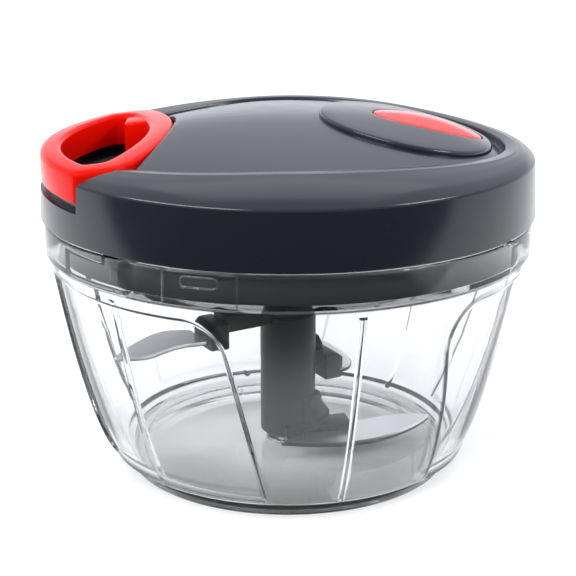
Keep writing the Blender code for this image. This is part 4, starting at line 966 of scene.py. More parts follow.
    def moved(self, radius: float, azimuth: float, z: float) -> Triple:
        """Puts the panels, ribs, pads and bayonet tracks on the spun shape.

        Args:
            radius: Radius of a vertex.
            azimuth: Its azimuth in degrees.
            z: Its height.

        Returns:
            Its new radius, azimuth and height.
        """
        base = azimuth - self.sector(azimuth)
        offset = read_table(self.column_shares, (self.sector(azimuth) + 60.0) / 120.0)
        middle_radius = (self.outer_radius(z) + self.inner_radius(z)) / 2
        in_wall = self.body_foot_z < z < self.body_top_z
        outside = radius > (middle_radius if z < self.body_top_z else self.band_radius - self.channel_deep)
        if z < self.floor_z - self.foot_margin and radius > self.boss_radius:
            outside = True
        turn = self.swirl(base + offset, z) if outside and radius > self.boss_radius else 0.0
        if outside and in_wall:
            radius -= self.panel_sink * self.panel_depth(base, offset, z)
        elif outside and self.band_z - self.step_reach < z < self.rim_z - self.rim_soft / 2:
            away = abs(self.sector(base + offset + turn) - self.pad_offset)
            radius += self.pad_raise * (1 - smooth_step(self.pad_half, self.pad_half + self.pad_ease, away))
        elif in_wall and not outside:
            radius -= self.rib(offset, z, radius)
        elif (not outside and z > self.band_z + self.track_margin
              and abs(radius - self.ledge_radius) < self.step_span[0]):
            first, last = self.entry if radius > self.ledge_radius - self.ledge_split / 2 else self.track
            shut = smooth_step(last, last + self.track_ease, offset)
            radius += self.channel_deep * (smooth_step(first - self.track_ease, first, offset) * (1 - shut))
        return radius, base + offset + turn, z

    def build(self) -> Piece:
        """Makes the bowl.

        Returns:
            The bowl.
        """
        bm = spun(self.profile(), self.columns, start_deg=self.panel_azimuth)
        # Painted shade per vertex, which the clear finish turns into a darker base colour
        layer = bm.verts.layers.float.new("crease")
        for vert in bm.verts:
            azimuth = math.degrees(math.atan2(vert.co.y, vert.co.x))
            vert[layer] = self.crease(vert.co.xy.length, azimuth, vert.co.z)
        shaped(bm, self.moved)
        bmesh.ops.recalc_face_normals(bm, faces=bm.faces)
        return dressed(new_object("clear_bowl", bm), self.finishes.clear, Body.BOWL, ["bowl"],
                       30.0)

    def build_slot_outline(self) -> Piece:
        """Makes the bare rounded outline that stands on the front pad of the band.

        Returns:
            The outline.
        """
        radius = self.band_radius + self.pad_raise + self.slot_line / 2
        far, high = self.slot_length / 2, self.slot_height / 2
        plan = softened([(x, y, high * self.slot_round_share) for x, y in
                         ((-far, -high), (far, -high), (far, high), (-far, high))], 12, closed=True)
        turn = self.panel_azimuth + self.pad_offset
        path = [polar(radius, turn + math.degrees(p.x / radius), self.slot_z + p.y) for p in plan]
        rings = []
        for k, point in enumerate(path):
            along = (path[(k + 1) % len(path)] - path[k - 1]).normalized()
            out = Vector((point.x, point.y, 0)).normalized()
            side = along.cross(out).normalized()
            rings.append([point + (side * math.cos(a) + out * math.sin(a)) * self.slot_line
                          for a in [2 * math.pi * n / 8 for n in range(8)]])
        bm = ringed(rings, closed=True)
        return dressed(new_object("band_slot_outline", bm), self.finishes.clear, Body.BOWL, (),
                       60.0)

    def build_pad_edge(self, name: str, side: int) -> Piece:
        """Makes the fine upright ridge on one edge of the front pad.

        Args:
            name: The piece's name.
            side: -1 for the left edge, 1 for the right one.

        Returns:
            The ridge.
        """
        azimuth = self.panel_azimuth + self.pad_offset + side * self.pad_half
        radius = self.band_radius + self.pad_raise - self.slot_line / 2
        low, high = self.band_z + self.pad_foot, self.rim_z - self.rim_soft
        path = [polar(radius, azimuth, low + (high - low) * k / 8) for k in range(9)]
        up = Vector((1.0, 0.0, 0.0))
        rings = [[p + (up * math.cos(a) + Vector((0.0, 1.0, 0.0)) * math.sin(a)) * self.slot_line * 0.8
                  for a in [2 * math.pi * n / 8 for n in range(8)]] for p in path]
        return dressed(new_object(name, ringed(rings)), self.finishes.clear, Body.BOWL, (), 60.0)


# Lid

@dataclass
class LidShape:
    """The outer form that the cover, the oval plate and the handle's notch share."""

    seat_z: float = 0.0694
    skirt_radius: float = 0.0650
    skirt_draft: float = 0.0006
    bevel_z: float = 0.0839
    crest_radius: float = 0.0565
    crest_flat: float = 0.0028
    crest_z: float = 0.0900
    dome_radius: float = 0.0530
    dome_z: float = 0.0942
    dome_drop: float = 0.0053
    dome_sag: float = 0.0047
    crest_sag: float = 0.0036
    squeeze: float = 0.0031
    plan_powers: tuple[float, float] = (1.6, 5.0)
    left_power: float = 1.5
    right_power: float = 2.5
    widening: float = 0.0042
    widening_span: tuple[float, float] = (98.0, 132.0)
    sag_margin: float = 0.0018
    plan_margin: float = 0.0022
    crest_lip: float = 0.0004
    bevel_run: float = 0.0030
    bevel_turn: tuple[float, float] = (0.0001, 0.0013)
    shoulder_turn: Triple = (0.0041, 0.0020, 0.0150)
    crest_step: float = 0.0002
    crest_round: float = 0.0010
    dome_step: float = 0.0033
    table: list[tuple[float, float]] = field(default_factory=list)

    def sag(self, radius: float, azimuth: float) -> float:
        """How much lower the lid is at a place than over the Y axis.

        Args:
            radius: Radius before the plan is stretched.
            azimuth: Azimuth in degrees.

        Returns:
            The drop.
        """
        if radius <= self.dome_radius:
            drop = self.dome_sag * (radius / self.dome_radius) ** 4
        else:
            shoulder = (self.skirt_radius + self.crest_radius) / 2
            drop = read_table([(self.dome_radius, self.dome_sag),
                               (self.crest_radius - self.crest_flat, self.crest_sag),
                               (self.crest_radius + self.crest_lip, self.crest_sag),
                               (shoulder, self.crest_sag / 2),
                               (self.skirt_radius - self.sag_margin, 0.0)], radius)
        across = math.cos(math.radians(azimuth))
        return drop * abs(across) ** (self.right_power if across > 0 else self.left_power)

    def inward(self, radius: float, azimuth: float) -> float:
        """How far a place of the round plan moves in: the crest is long along X and broad beside the handle.

        Args:
            radius: Radius before the plan is stretched.
            azimuth: Azimuth in degrees.

        Returns:
            The shift towards the lid's axis.
        """
        across = math.cos(math.radians(azimuth))
        outer = self.squeeze * (1 - 2 * abs(across) ** self.plan_powers[across > 0])
        inner = outer + self.widening * smooth_step(*self.widening_span, azimuth)
        return read_table([(0.0, 0.0), (self.crest_radius - self.crest_flat, inner),
                           (self.crest_radius, outer), (self.skirt_radius - self.plan_margin, 0.0)], radius)

    def round_radius(self, x: float, y: float) -> float:
        """Radius that a plan point had before the plan was stretched.

        Args:
            x: X of the point.
            y: Y of the point.

        Returns:
            The radius.
        """
        target, azimuth = math.hypot(x, y), math.degrees(math.atan2(y, x))
        low, high = 0.0, self.skirt_radius * 1.2
        for _ in range(30):
            middle = (low + high) / 2
            if middle - self.inward(middle, azimuth) < target:
                low = middle
            else:
                high = middle
        return (low + high) / 2

    def dome_height(self, x: float, y: float) -> float:
        """Height of the dome over a plan point, also past its edge.

        Args:
            x: X of the point.
            y: Y of the point.

        Returns:
            The height.
        """
        share = self.round_radius(x, y) / self.dome_radius
        along = x / math.hypot(x, y) if x else 0.0
        power = self.right_power if x > 0 else self.left_power
        return self.dome_z - self.dome_drop * share ** 2 - self.dome_sag * share ** 4 * abs(along) ** power

    def crown(self) -> list[Vector]:
        """The section from the skirt's top over the shoulder and crest to the middle of the dome.

        Returns:
            Points of radius and height.
        """
        dome = [Vector((r, self.dome_z - self.dome_drop * (r / self.dome_radius) ** 2)) for r in
                [self.dome_radius * (1 - k / 16) for k in range(1, 17)]]
        edge_z = self.dome_z - self.dome_drop
        top = self.crest_radius
        skirt = self.skirt_radius - self.skirt_draft
        bevel_step, bevel_round = self.bevel_turn
        out, drop, sweep = self.shoulder_turn
        rise = softened([(skirt, self.bevel_z - self.bevel_run, 0),
                         (skirt - bevel_step, self.bevel_z + bevel_step, bevel_round),
                         (top + out, self.crest_z - drop, sweep),
                         (top + self.crest_step, self.crest_z, self.crest_round),
                         (top - self.crest_flat, self.crest_z, self.crest_round / 2),
                         (self.dome_radius + self.crest_step, edge_z, self.crest_round / 2),
                         (self.dome_radius - self.dome_step, dome[0].y, 0)], 6)[:-1]
        return rise + dome

    def height(self, x: float, y: float) -> float:
        """Height of the lid's surface over a plan point.

        Args:
            x: X of the point.
            y: Y of the point.

        Returns:
            The height.
        """
        if not self.table:
            self.table = sorted((p.x, p.y) for p in self.crown())
        radius = self.round_radius(x, y)
        return read_table(self.table, radius) - self.sag(radius, math.degrees(math.atan2(y, x)))


@dataclass
class HandleShape:
    """Plan and heights of the loop handle, which its notch in the lid repeats with a gap."""

    radius: float = 0.0644
    half_width: float = 0.0393
    chord: float = 0.0302
    bulge_share: float = 0.442
    corner: float = 0.0090
    edge: float = 0.0016
    rim: float = 0.0056
    bar: float = 0.0066
    end: float = 0.0068
    loop_bulge_share: float = 0.62
    loop_corner: float = 0.0034
    bottom: float = 0.0793
    top: float = 0.0908
    fall: float = 0.0038
    side_fall: float = 0.0012
    steps: int = 30

    def d_outline(self, radius: float, half_width: float, chord: float, bulge_share: float,
                  corner: float) -> list[Vector]:
        """Plan of a D.

        Args:
            radius: Radius of its rim.
            half_width: Half the width between its straight sides.
            chord: Distance of its inner side from the lid's axis, at the middle.
            bulge_share: How far the inner side bows, as a share of the straight sides.
            corner: Size of the soft corners of the inner side.

        Returns:
            A closed list of plan points.
        """
        half_angle = math.asin(half_width / radius)
        count = 2 * self.steps
        rim = [Vector((-radius * math.cos(a), radius * math.sin(a))) for a in
               [half_angle * (1 - 2 * k / count) for k in range(1, count)]]
        upper = Vector((-radius * math.cos(half_angle), half_width))
        lower = Vector((upper.x, -half_width))
        bulge = bulge_share * (-upper.x - chord)
        corner = min(corner, -upper.x - chord - bulge)
        inner_lower = Vector((-chord - bulge, -half_width))
        sweep = (half_width ** 2 + bulge ** 2) / (2 * bulge)
        swing = math.asin((half_width - corner) / sweep)
        bow = [Vector((-chord - sweep + math.cos(a) * sweep, math.sin(a) * sweep)) for a in
               [-swing + 2 * swing * k / count for k in range(count + 1)]]
        outer_lower = softened([(*rim[-1], 0), (*lower, self.edge), (*inner_lower, 0)], 5)[1:-1]
        outer_upper = [Vector((p.x, -p.y)) for p in reversed(outer_lower)]
        start = Vector((inner_lower.x - corner / 2, -half_width))
        back = bow[0] + (bow[0] - bow[1]).normalized() * corner / 2
        turn_in = cubic(start, start + Vector((corner / 2, 0.0)), back, bow[0], self.steps // 3) + [bow[0]]
        turn_out = [Vector((p.x, -p.y)) for p in reversed(turn_in)]
        return outer_upper + rim[1:-1] + outer_lower + turn_in + bow[1:-1] + turn_out

    def outline(self, grow: float = 0.0) -> list[Vector]:
        """The handle's outer plan, grown by a clearance."""
        return grown(self.d_outline(self.radius, self.half_width, self.chord, self.bulge_share,
                                    self.corner), grow)

    def hole(self, grow: float = 0.0) -> list[Vector]:
        """Plan of the finger loop, grown by a clearance."""
        return grown(self.d_outline(self.radius - self.rim, self.half_width - self.end, self.chord + self.bar,
                                    self.loop_bulge_share, self.loop_corner), grow)

    def height(self, x: float, y: float) -> float:
        """Height of the handle's top: it falls towards the rim and towards its two ends."""
        share = (-self.chord - x) / (self.radius - self.chord)
        return self.top - self.fall * share - self.side_fall * (y / self.half_width) ** 2


@dataclass
class LidCover:
    """The slate cover with its notch, the oval plate with the red insert, and the plug ring below."""

    finishes: Finishes
    shape: LidShape = field(default_factory=LidShape)
    handle: HandleShape = field(default_factory=HandleShape)
    wall: float = 0.0020
    skirt_wall: float = 0.0022
    rebate_wall: float = 0.0009
    flange_z: float = 0.0710
    base_top_z: float = 0.0726
    notch_gap: float = 0.0006
    notch_z: float = 0.0770
    lip: float = 0.0006
    run_out: float = 0.0080
    sill_radius: float = 0.0624
    sill_width: float = 0.0016
    sill_height: float = 0.0019
    sill_half: float = 36.5
    plug_radius: float = 0.0616
    plug_wall: float = 0.0020
    plug_foot: float = 0.0610
    lug_azimuth: float = -130.5
    lug_half: float = 1.9
    lug_reach: float = 0.0011
    lug_span: tuple[float, float] = (0.0623, 0.0659)
    sleeve_radius: float = 0.0096
    sleeve_wall: float = 0.0018
    sleeve_z: float = 0.0664
    oval_centre: float = 0.0307
    oval_half: tuple[float, float] = (0.0226, 0.0270)
    oval_height: float = 0.0013
    oval_soft: float = 0.0008
    insert_centre: float = 0.0365
    insert_half: tuple[float, float] = (0.0142, 0.0100)
    insert_crown: float = 0.0009
    insert_seat: float = 0.0005
    gap: float = 0.0003
    cord_z: float = 0.0824
    guide_radius: float = 0.0022
    guide_bore: float = 0.0013
    guide_flange: float = 0.0034
    guide_lip: float = 0.0008
    bore_length: float = 0.0060
    overrun: float = 0.0020
    tool_rise: float = 0.0030
    sag_foot: float = 0.0040
    sag_edge: float = 0.0012
    seat_round: float = 0.0004
    sill_round: float = 0.0004
    seat_lip: float = 0.0003
    insert_step: float = 0.0002
    lug_hair: float = 0.00005
    lug_ease: tuple[float, float] = (0.2, 0.3)
    lug_step: tuple[float, float] = (0.0001, 0.0003)
    flange_round: float = 0.0002
    plug_round: float = 0.0003
    sleeve_round: float = 0.0004
    inner_round: float = 0.0006
    foot_round: float = 0.0005
    eyelet_rounds: Quad = (0.0002, 0.0001, 0.0003, 0.0006)
    turns: int = 288

    def sagged(self, radius: float, azimuth: float, z: float) -> Triple:
        """Lowers the crown of a spun shape along the X axis.

        Args:
            radius: Radius of a vertex.
            azimuth: Its azimuth in degrees.
            z: Its height.

        Returns:
            Its new radius, azimuth and height.
        """
        if z > self.shape.bevel_z - self.sag_foot and radius < self.shape.skirt_radius - self.sag_edge:
            z -= self.shape.sag(radius, azimuth)
            radius -= self.shape.inward(radius, azimuth)
        return radius, azimuth, z

    def build_cover(self) -> Piece:
        """Makes the cover: a thin shell with the handle's notch sunk into it.

        Returns:
            The cover.
        """
        shape = self.shape
        outside = softened([(0, shape.seat_z, 0), (shape.skirt_radius, shape.seat_z, self.seat_round),
                            (shape.skirt_radius - shape.skirt_draft, shape.bevel_z - shape.bevel_run, 0)],
                           3)[:-1]
        outside += shape.crown()
        body = spun(outside, self.turns)
        shaped(body, self.sagged)
        below = shape.seat_z - self.overrun
        inside = [(0, below), (shape.skirt_radius - self.rebate_wall, below),
                  (shape.skirt_radius - self.rebate_wall, self.flange_z),
                  (shape.skirt_radius - self.skirt_wall, self.flange_z),
                  (shape.skirt_radius - self.skirt_wall - shape.skirt_draft, shape.bevel_z - self.wall)]
        crown = [p for p in shape.crown() if p.x < shape.skirt_radius - self.skirt_wall * 2]
        inside += [(p.x, p.y - self.wall * 1.3) for p in crown[::2]]
        inside[-1] = (0, inside[-1][1])
        cavity = spun(inside, 96)
        shaped(cavity, self.sagged)
        hollow = new_object("hollow", cavity)
        carved(hollow, [self.notch_tool(self.notch_gap + self.wall, self.notch_z - self.wall, False)])
        cover = new_object("lid_cover", body)
        tool = bmesh.new()
        tool.from_mesh(hollow.data)
        bpy.data.objects.remove(hollow)
        bore_radius = self.guide_radius + self.gap
        bore = spun([(0, 0), (bore_radius, 0), (bore_radius, self.bore_length), (0, self.bore_length)], 24,
                    (1, 0, 0), (-self.handle.chord - self.wall, 0, self.cord_z))
        carved(cover, [tool, self.notch_tool(self.notch_gap, self.notch_z, True), bore])
        return dressed(cover, self.finishes.slate, Body.LID, ["top_cover"], 28.0)

    def notch_tool(self, grow: float, low: float, with_lip: bool) -> Shape:
        """The shape of the notch, run out past the skirt and flared at the lid's surface.

        Args:
            grow: Clearance round the handle.
            low: Height of the notch's floor.
            with_lip: Whether its upper edge is rounded over.

        Returns:
            The shape to take away.
        """
        levels = [(0.0, -1.0)]
        if with_lip:
            levels += [(1 - math.cos(math.radians(a)), math.sin(math.radians(a)) - 1)
                       for a in (0, 25, 50, 68, 82)]
        rings = []
        for out_share, drop_share in levels:
            outline = self.run_past(self.handle.outline(grow + self.lip * out_share))
            if not rings:
                rings.append([Vector((p.x, p.y, low)) for p in outline])
                continue
            rings.append([Vector((p.x, p.y, self.shape.height(p.x, p.y) + self.lip * drop_share))
                          for p in outline])
        high = self.shape.dome_z + self.tool_rise
        rings.append([Vector((p.x, p.y, high)) for p in rings[-1]])
        return ringed(rings)

    def run_past(self, outline: Sequence[Vector]) -> list[Vector]:
        """Moves the rim side of a notch outline out past the skirt."""
        rim = self.handle.radius - self.handle.edge
        return [Vector((p.x - self.run_out, p.y)) if p.length > rim else p for p in outline]

    def build_notch_sill(self) -> Piece:
        """Makes the low sill along the notch's open side, under the handle's rim.

        Returns:
            The sill.
        """
        outer, inner = self.sill_radius, self.sill_radius - self.sill_width
        angles = [180.0 + self.sill_half * (2 * k / 48 - 1) for k in range(49)]
        outline = [polar(outer, a).xy for a in angles] + [polar(inner, a).xy for a in reversed(angles)]
        bm = bevelled(prism(outline, self.notch_z - self.lip, self.notch_z + self.sill_height),
                      self.sill_round)
        return dressed(new_object("notch_sill", bm), self.finishes.slate, Body.LID, ())

    def oval(self, half: tuple[float, float], centre: float, height: float, steps: int = 96) -> list[Vector]:
        """An oval of points that lies at a height over the dome.

        Args:
            half: Half its length along X and half its width.
            centre: X of its middle.
            height: How far over the dome.
            steps: How many points.

        Returns:
            The points.
        """
        points = []
        for k in range(steps):
            angle = 2 * math.pi * k / steps
            x, y = centre + half[0] * math.cos(angle), half[1] * math.sin(angle)
            points.append(Vector((x, y, self.shape.dome_height(x, y) + height)))
        return points

    def build_oval_plate(self) -> Piece:
        """Makes the raised oval plate with the recess of the insert.

        Returns:
            The plate.
        """
        soft, top = self.oval_soft, self.oval_height
        seat = (self.insert_half[0] + self.gap, self.insert_half[1] + self.gap)
        rings = [self.oval(self.oval_half, self.oval_centre, -self.gap)]
        for angle in (0, 22, 45, 68, 90):
            inset = soft * (1 - math.cos(math.radians(angle)))
            drop = soft * (1 - math.sin(math.radians(angle)))
            rings.append(self.oval((self.oval_half[0] - inset, self.oval_half[1] - inset), self.oval_centre,
                                   top - drop))
        lip = self.seat_lip
        for share in (0.8, 0.6, 0.4, 0.2, 0.05):
            half = tuple(seat[k] + lip + (self.oval_half[k] - soft - seat[k] - lip) * share for k in range(2))
            centre = self.insert_centre + (self.oval_centre - self.insert_centre) * share
            rings.append(self.oval(half, centre, top))
        rings.append(self.oval((seat[0] + lip, seat[1] + lip), self.insert_centre, top))
        rings.append(self.oval((seat[0] + lip / 4, seat[1] + lip / 4), self.insert_centre, top - lip / 3))
        rings.append(self.oval(seat, self.insert_centre, top - lip))
        for share in (1.0, 0.75, 0.5, 0.25, 0.05):
            rings.append(self.oval((seat[0] * share, seat[1] * share), self.insert_centre, self.insert_seat))
        return dressed(new_object("oval_pad", ringed(rings)), self.finishes.slate, Body.LID,
                       ["oval_plate"], 40.0)

    def build_insert(self) -> Piece:
        """Makes the polished red insert. Its face is bare.

        Returns:
            The insert.
        """
        half, centre, base = self.insert_half, self.insert_centre, self.insert_seat + self.gap / 2
        rings = [self.oval((half[0] * share, half[1] * share), centre, base)
                 for share in (0.05, 0.4, 0.8, 0.98)]
        rings.append(self.oval(half, centre, base + self.insert_step))
        rings.append(self.oval(half, centre, self.oval_height - self.insert_step))
        for share in (0.985, 0.95, 0.88, 0.78, 0.65, 0.5, 0.35, 0.2, 0.05):
            height = self.oval_height + self.insert_crown * (1 - share ** 2)
            rings.append(self.oval((half[0] * share, half[1] * share), centre, height))
        return dressed(new_object("red_insert", ringed(rings)), self.finishes.insert, Body.LID,
                       ["oval_insert"], 50.0)

    def lugged(self, radius: float, azimuth: float, z: float) -> Triple:
        """Raises the three bayonet lugs on the plug ring.

        Args:
            radius: Radius of a vertex.
            azimuth: Its azimuth in degrees.
            z: Its height.

        Returns:
            Its new radius, azimuth and height.
        """
        if abs(radius - self.plug_radius) < self.lug_hair and self.lug_span[0] < z < self.lug_span[1]:
            away = abs((azimuth - self.lug_azimuth + 60.0) % 120.0 - 60.0)
            first, last = self.lug_half - self.lug_ease[0], self.lug_half + self.lug_ease[1]
            radius += self.lug_reach * (1 - smooth_step(first, last, away))
        return radius, azimuth, z

    def build_plug(self) -> Piece:
        """Makes the base plate: flange, plug ring with its lugs, and the sleeve of the hub.

        Returns:
            The base plate.
        """
        edge = self.shape.skirt_radius - self.skirt_wall - self.gap
        low, high = self.lug_span
        sleeve_out = self.sleeve_radius + self.sleeve_wall
        inner = self.plug_radius - self.plug_wall
        plug, flange, soft = self.plug_radius, self.flange_z, self.plug_round
        before, within = self.lug_step
        corners = [(plug, flange, self.flange_round), (edge, flange, soft), (edge, self.base_top_z, soft),
                   (self.sleeve_radius, self.base_top_z, soft), (self.sleeve_radius, self.sleeve_z, soft),
                   (sleeve_out, self.sleeve_z, soft), (sleeve_out, flange, self.sleeve_round),
                   (inner, flange, self.inner_round), (inner, self.plug_foot, self.foot_round),
                   (plug, self.plug_foot, self.foot_round), (plug, low - before, 0), (plug, low + within, 0),
                   (plug, (low + high) / 2, 0), (plug, high - within, 0), (plug, high + before, 0)]
        bm = spun(softened(corners, 3, closed=True), 360, start_deg=self.lug_azimuth)
        shaped(bm, self.lugged)
        bmesh.ops.recalc_face_normals(bm, faces=bm.faces)
        # Its finish is the charcoal plastic painted paler, which is painted light
        return dressed(new_object("plug_ring", bm), self.finishes.base, Body.LID, ["base_plate"])

    def build_cord_eyelet(self) -> Piece:
        """Makes the flared eyelet that the cord runs through.

        Returns:
            The eyelet.
        """
        length = self.wall + self.gap + self.guide_lip
        seat = self.wall + self.gap
        end, neck, lip, mouth = self.eyelet_rounds
        corners = [(self.guide_bore, 0, 0), (self.guide_radius, 0, end), (self.guide_radius, seat, neck),
                   (self.guide_flange, seat, lip), (self.guide_flange, length, lip),
                   (self.guide_flange - mouth, length, lip), (self.guide_bore, seat / 2, mouth)]
        centre = (-self.handle.chord + self.notch_gap, 0, self.cord_z)
        bm = spun(softened(corners, 4, closed=True), 48, (1, 0, 0), centre)
        return dressed(new_object("cord_eyelet", bm), self.finishes.white, Body.LID,
                       ["cord_guide"])


# Handle

@dataclass
class LoopHandle:
    """The red loop handle with a ledge across each inner corner, and its pocket for the knot."""

    finishes: Finishes
    shape: HandleShape = field(default_factory=HandleShape)
    soft: float = 0.0014
    foot_soft: float = 0.0005
    ledge_face: float = 0.0170
    ledge_reach: float = 0.0078
    ledge_lean: float = 0.0012
    back_drop: float = 0.0006
    front_drop: float = 0.0044
    pocket: float = 0.0040
    cord_z: float = 0.0824
    bore: float = 0.00135
    bore_length: float = 0.0060
    overrun: float = 0.0020
    ledge_soft: float = 0.0007

    def build(self) -> Piece:
        """Makes the loop: one soft-edged section carried round the plan of a D.

        Returns:
            The handle.
        """
        shape, soft, foot = self.shape, self.soft, self.foot_soft
        angles = [math.radians(a) for a in (0, 18, 36, 54, 72, 90)]
        rings = [self.at(shape.outline(-foot), None, 0.0), self.at(shape.outline(-foot / 4), None, foot / 3),
                 self.at(shape.outline(), None, foot)]
        rings += [self.at(shape.outline(-soft * (1 - math.cos(a))), soft * (1 - math.sin(a)), 0.0)
                  for a in angles]
        rings += [self.at(shape.hole(soft * (1 - math.cos(a))), soft * (1 - math.sin(a)), 0.0)
                  for a in reversed(angles)]
        rings += [self.at(shape.hole(), None, foot), self.at(shape.hole(foot / 4), None, foot / 3),
                  self.at(shape.hole(foot), None, 0.0)]
        handle = new_object("loop_handle", ringed(rings, closed=True))
        pocket_x = -shape.chord - self.pocket * 3 / 4
        pocket_top = self.cord_z + self.pocket / 2
        half = self.pocket / 2
        pocket = prism([(pocket_x - half, -half), (pocket_x + half, -half), (pocket_x + half, half),
                        (pocket_x - half, half)], shape.bottom - self.overrun, pocket_top)
        bore = spun([(0, 0), (self.bore, 0), (self.bore, self.bore_length), (0, self.bore_length)], 24,
                    (1, 0, 0), (pocket_x, 0, self.cord_z))
        carved(handle, [pocket, bore])
        return dressed(handle, self.finishes.red, Body.HANDLE, ["handle"], 35.0)

    def at(self, outline: Sequence[Vector], drop: float | None, rise: float) -> list[Vector]:
        """Lifts a plan outline to the handle's top less a drop, or over its foot when drop is None."""
        if drop is None:
            return [Vector((p.x, p.y, self.shape.bottom + rise)) for p in outline]
        return [Vector((p.x, p.y, self.shape.height(p.x, p.y) - drop)) for p in outline]

    def build_ledge(self, name: str, side: int, drop: float) -> Piece:
        """Makes the ledge that fills one inner corner of the loop.

        Args:
            name: The piece's name.
            side: 1 for the back corner, -1 for the front one.
            drop: How far its top lies below the handle's top.

        Returns:
            The ledge.
        """
        shape = self.shape
        loop_chord = shape.chord + shape.bar
        loop_half = shape.half_width - shape.end + self.soft
        corners = [(-loop_chord, self.ledge_face), (-loop_chord, loop_half),
                   (-loop_chord - self.ledge_reach - self.ledge_lean, loop_half),
                   (-loop_chord - self.ledge_reach, self.ledge_face)]
        bm = prism([(x, y * side) for x, y in corners], shape.bottom + self.foot_soft, shape.top)
        for vert in bm.verts:
            if vert.co.z > shape.bottom + self.soft:
                vert.co.z = shape.height(vert.co.x, vert.co.y) - drop
        return dressed(new_object(name, bevelled(bm, self.ledge_soft)), self.finishes.red,
                       Body.HANDLE, (), 35.0)


# Cord

@dataclass
class PullCord:
    """The braided cord: turns on the reel, the run to the eyelet, the drawn stretch and the knot."""

    finishes: Finishes
    radius: float = 0.00075
    winding_radius: float = 0.01855
    winding_z: float = 0.07575
    pitch: float = 0.00195
    turns: float = 2.5
    leaves_deg: float = 228.9
    run_z: float = 0.0824
    chord: float = 0.0302
    wall: float = 0.0020
    bore: float = 0.0013
    gap: float = 0.0003
    notch_gap: float = 0.0006
    knot_x: float = -0.0332
    knot_radius: float = 0.0016
    per_turn: int = 60

    def build_winding(self) -> Piece:
        """Makes the turns on the reel, which ride on it.

        Returns:
            The turns.
        """
        count = int(self.turns * self.per_turn)
        path = [polar(self.winding_radius, self.leaves_deg + 360.0 * k / self.per_turn,
                      self.winding_z + self.pitch * (self.turns - k / self.per_turn))
                for k in range(count + 1)]
        bm = ringed(tube_rings(path, self.radius))
        return dressed(new_object("cord_turns", bm), self.finishes.cord, Body.REEL,
                       ["cord_winding"])

    def build_run(self) -> Piece:
        """Makes the run from the reel to the eyelet.

        Returns:
            The run.
        """
        leaves = polar(self.winding_radius, self.leaves_deg, self.run_z)
        mouth = Vector((-self.chord + self.wall + self.bore, 0, self.run_z))
        out = Vector((-self.chord + self.notch_gap + self.gap, 0, self.run_z))
        path = cubic(leaves, leaves.lerp(mouth, 0.6), mouth, out, 32) + [out]
        bm = ringed(tube_rings(path, self.radius))
        return dressed(new_object("cord_to_eyelet", bm), self.finishes.cord, Body.LID,
                       ["cord_run"])

    def build_stretch(self) -> Piece:
        """Makes the stretch that is drawn out between the eyelet and the handle.

        Returns:
            The stretch.
        """
        first = -self.chord + self.notch_gap + self.gap
        last = -self.chord - self.gap * 2
        path = [Vector((first + (last - first) * k / 90, 0, self.run_z)) for k in range(91)]
        bm = ringed(tube_rings(path, self.radius * 0.98))
        piece = dressed(new_object("cord_stretch", bm), self.finishes.cord, None, (), 60.0)
        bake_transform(piece)
        return piece

    def build_knot(self) -> Piece:
        """Makes the cord's end in the handle, with its stopper knot.

        Returns:
            The end.
        """
        tip = -self.chord + self.notch_gap
        length = tip - self.knot_x
        neck = math.sqrt(self.knot_radius ** 2 - self.radius ** 2)
        ball = [(self.knot_radius * math.sin(a), -self.knot_radius * math.cos(a)) for a in
                [math.pi * k / 16 for k in range(14)] if math.cos(a) > -neck / self.knot_radius]
        profile = [(0, -self.knot_radius), *ball[1:], (self.radius, neck), (self.radius, length), (0, length)]
        bm = spun(profile, 24, (1, 0, 0), (self.knot_x, 0, self.run_z))
        return dressed(new_object("cord_knot", bm), self.finishes.cord, Body.HANDLE, ["cord_end"])


# Blade unit

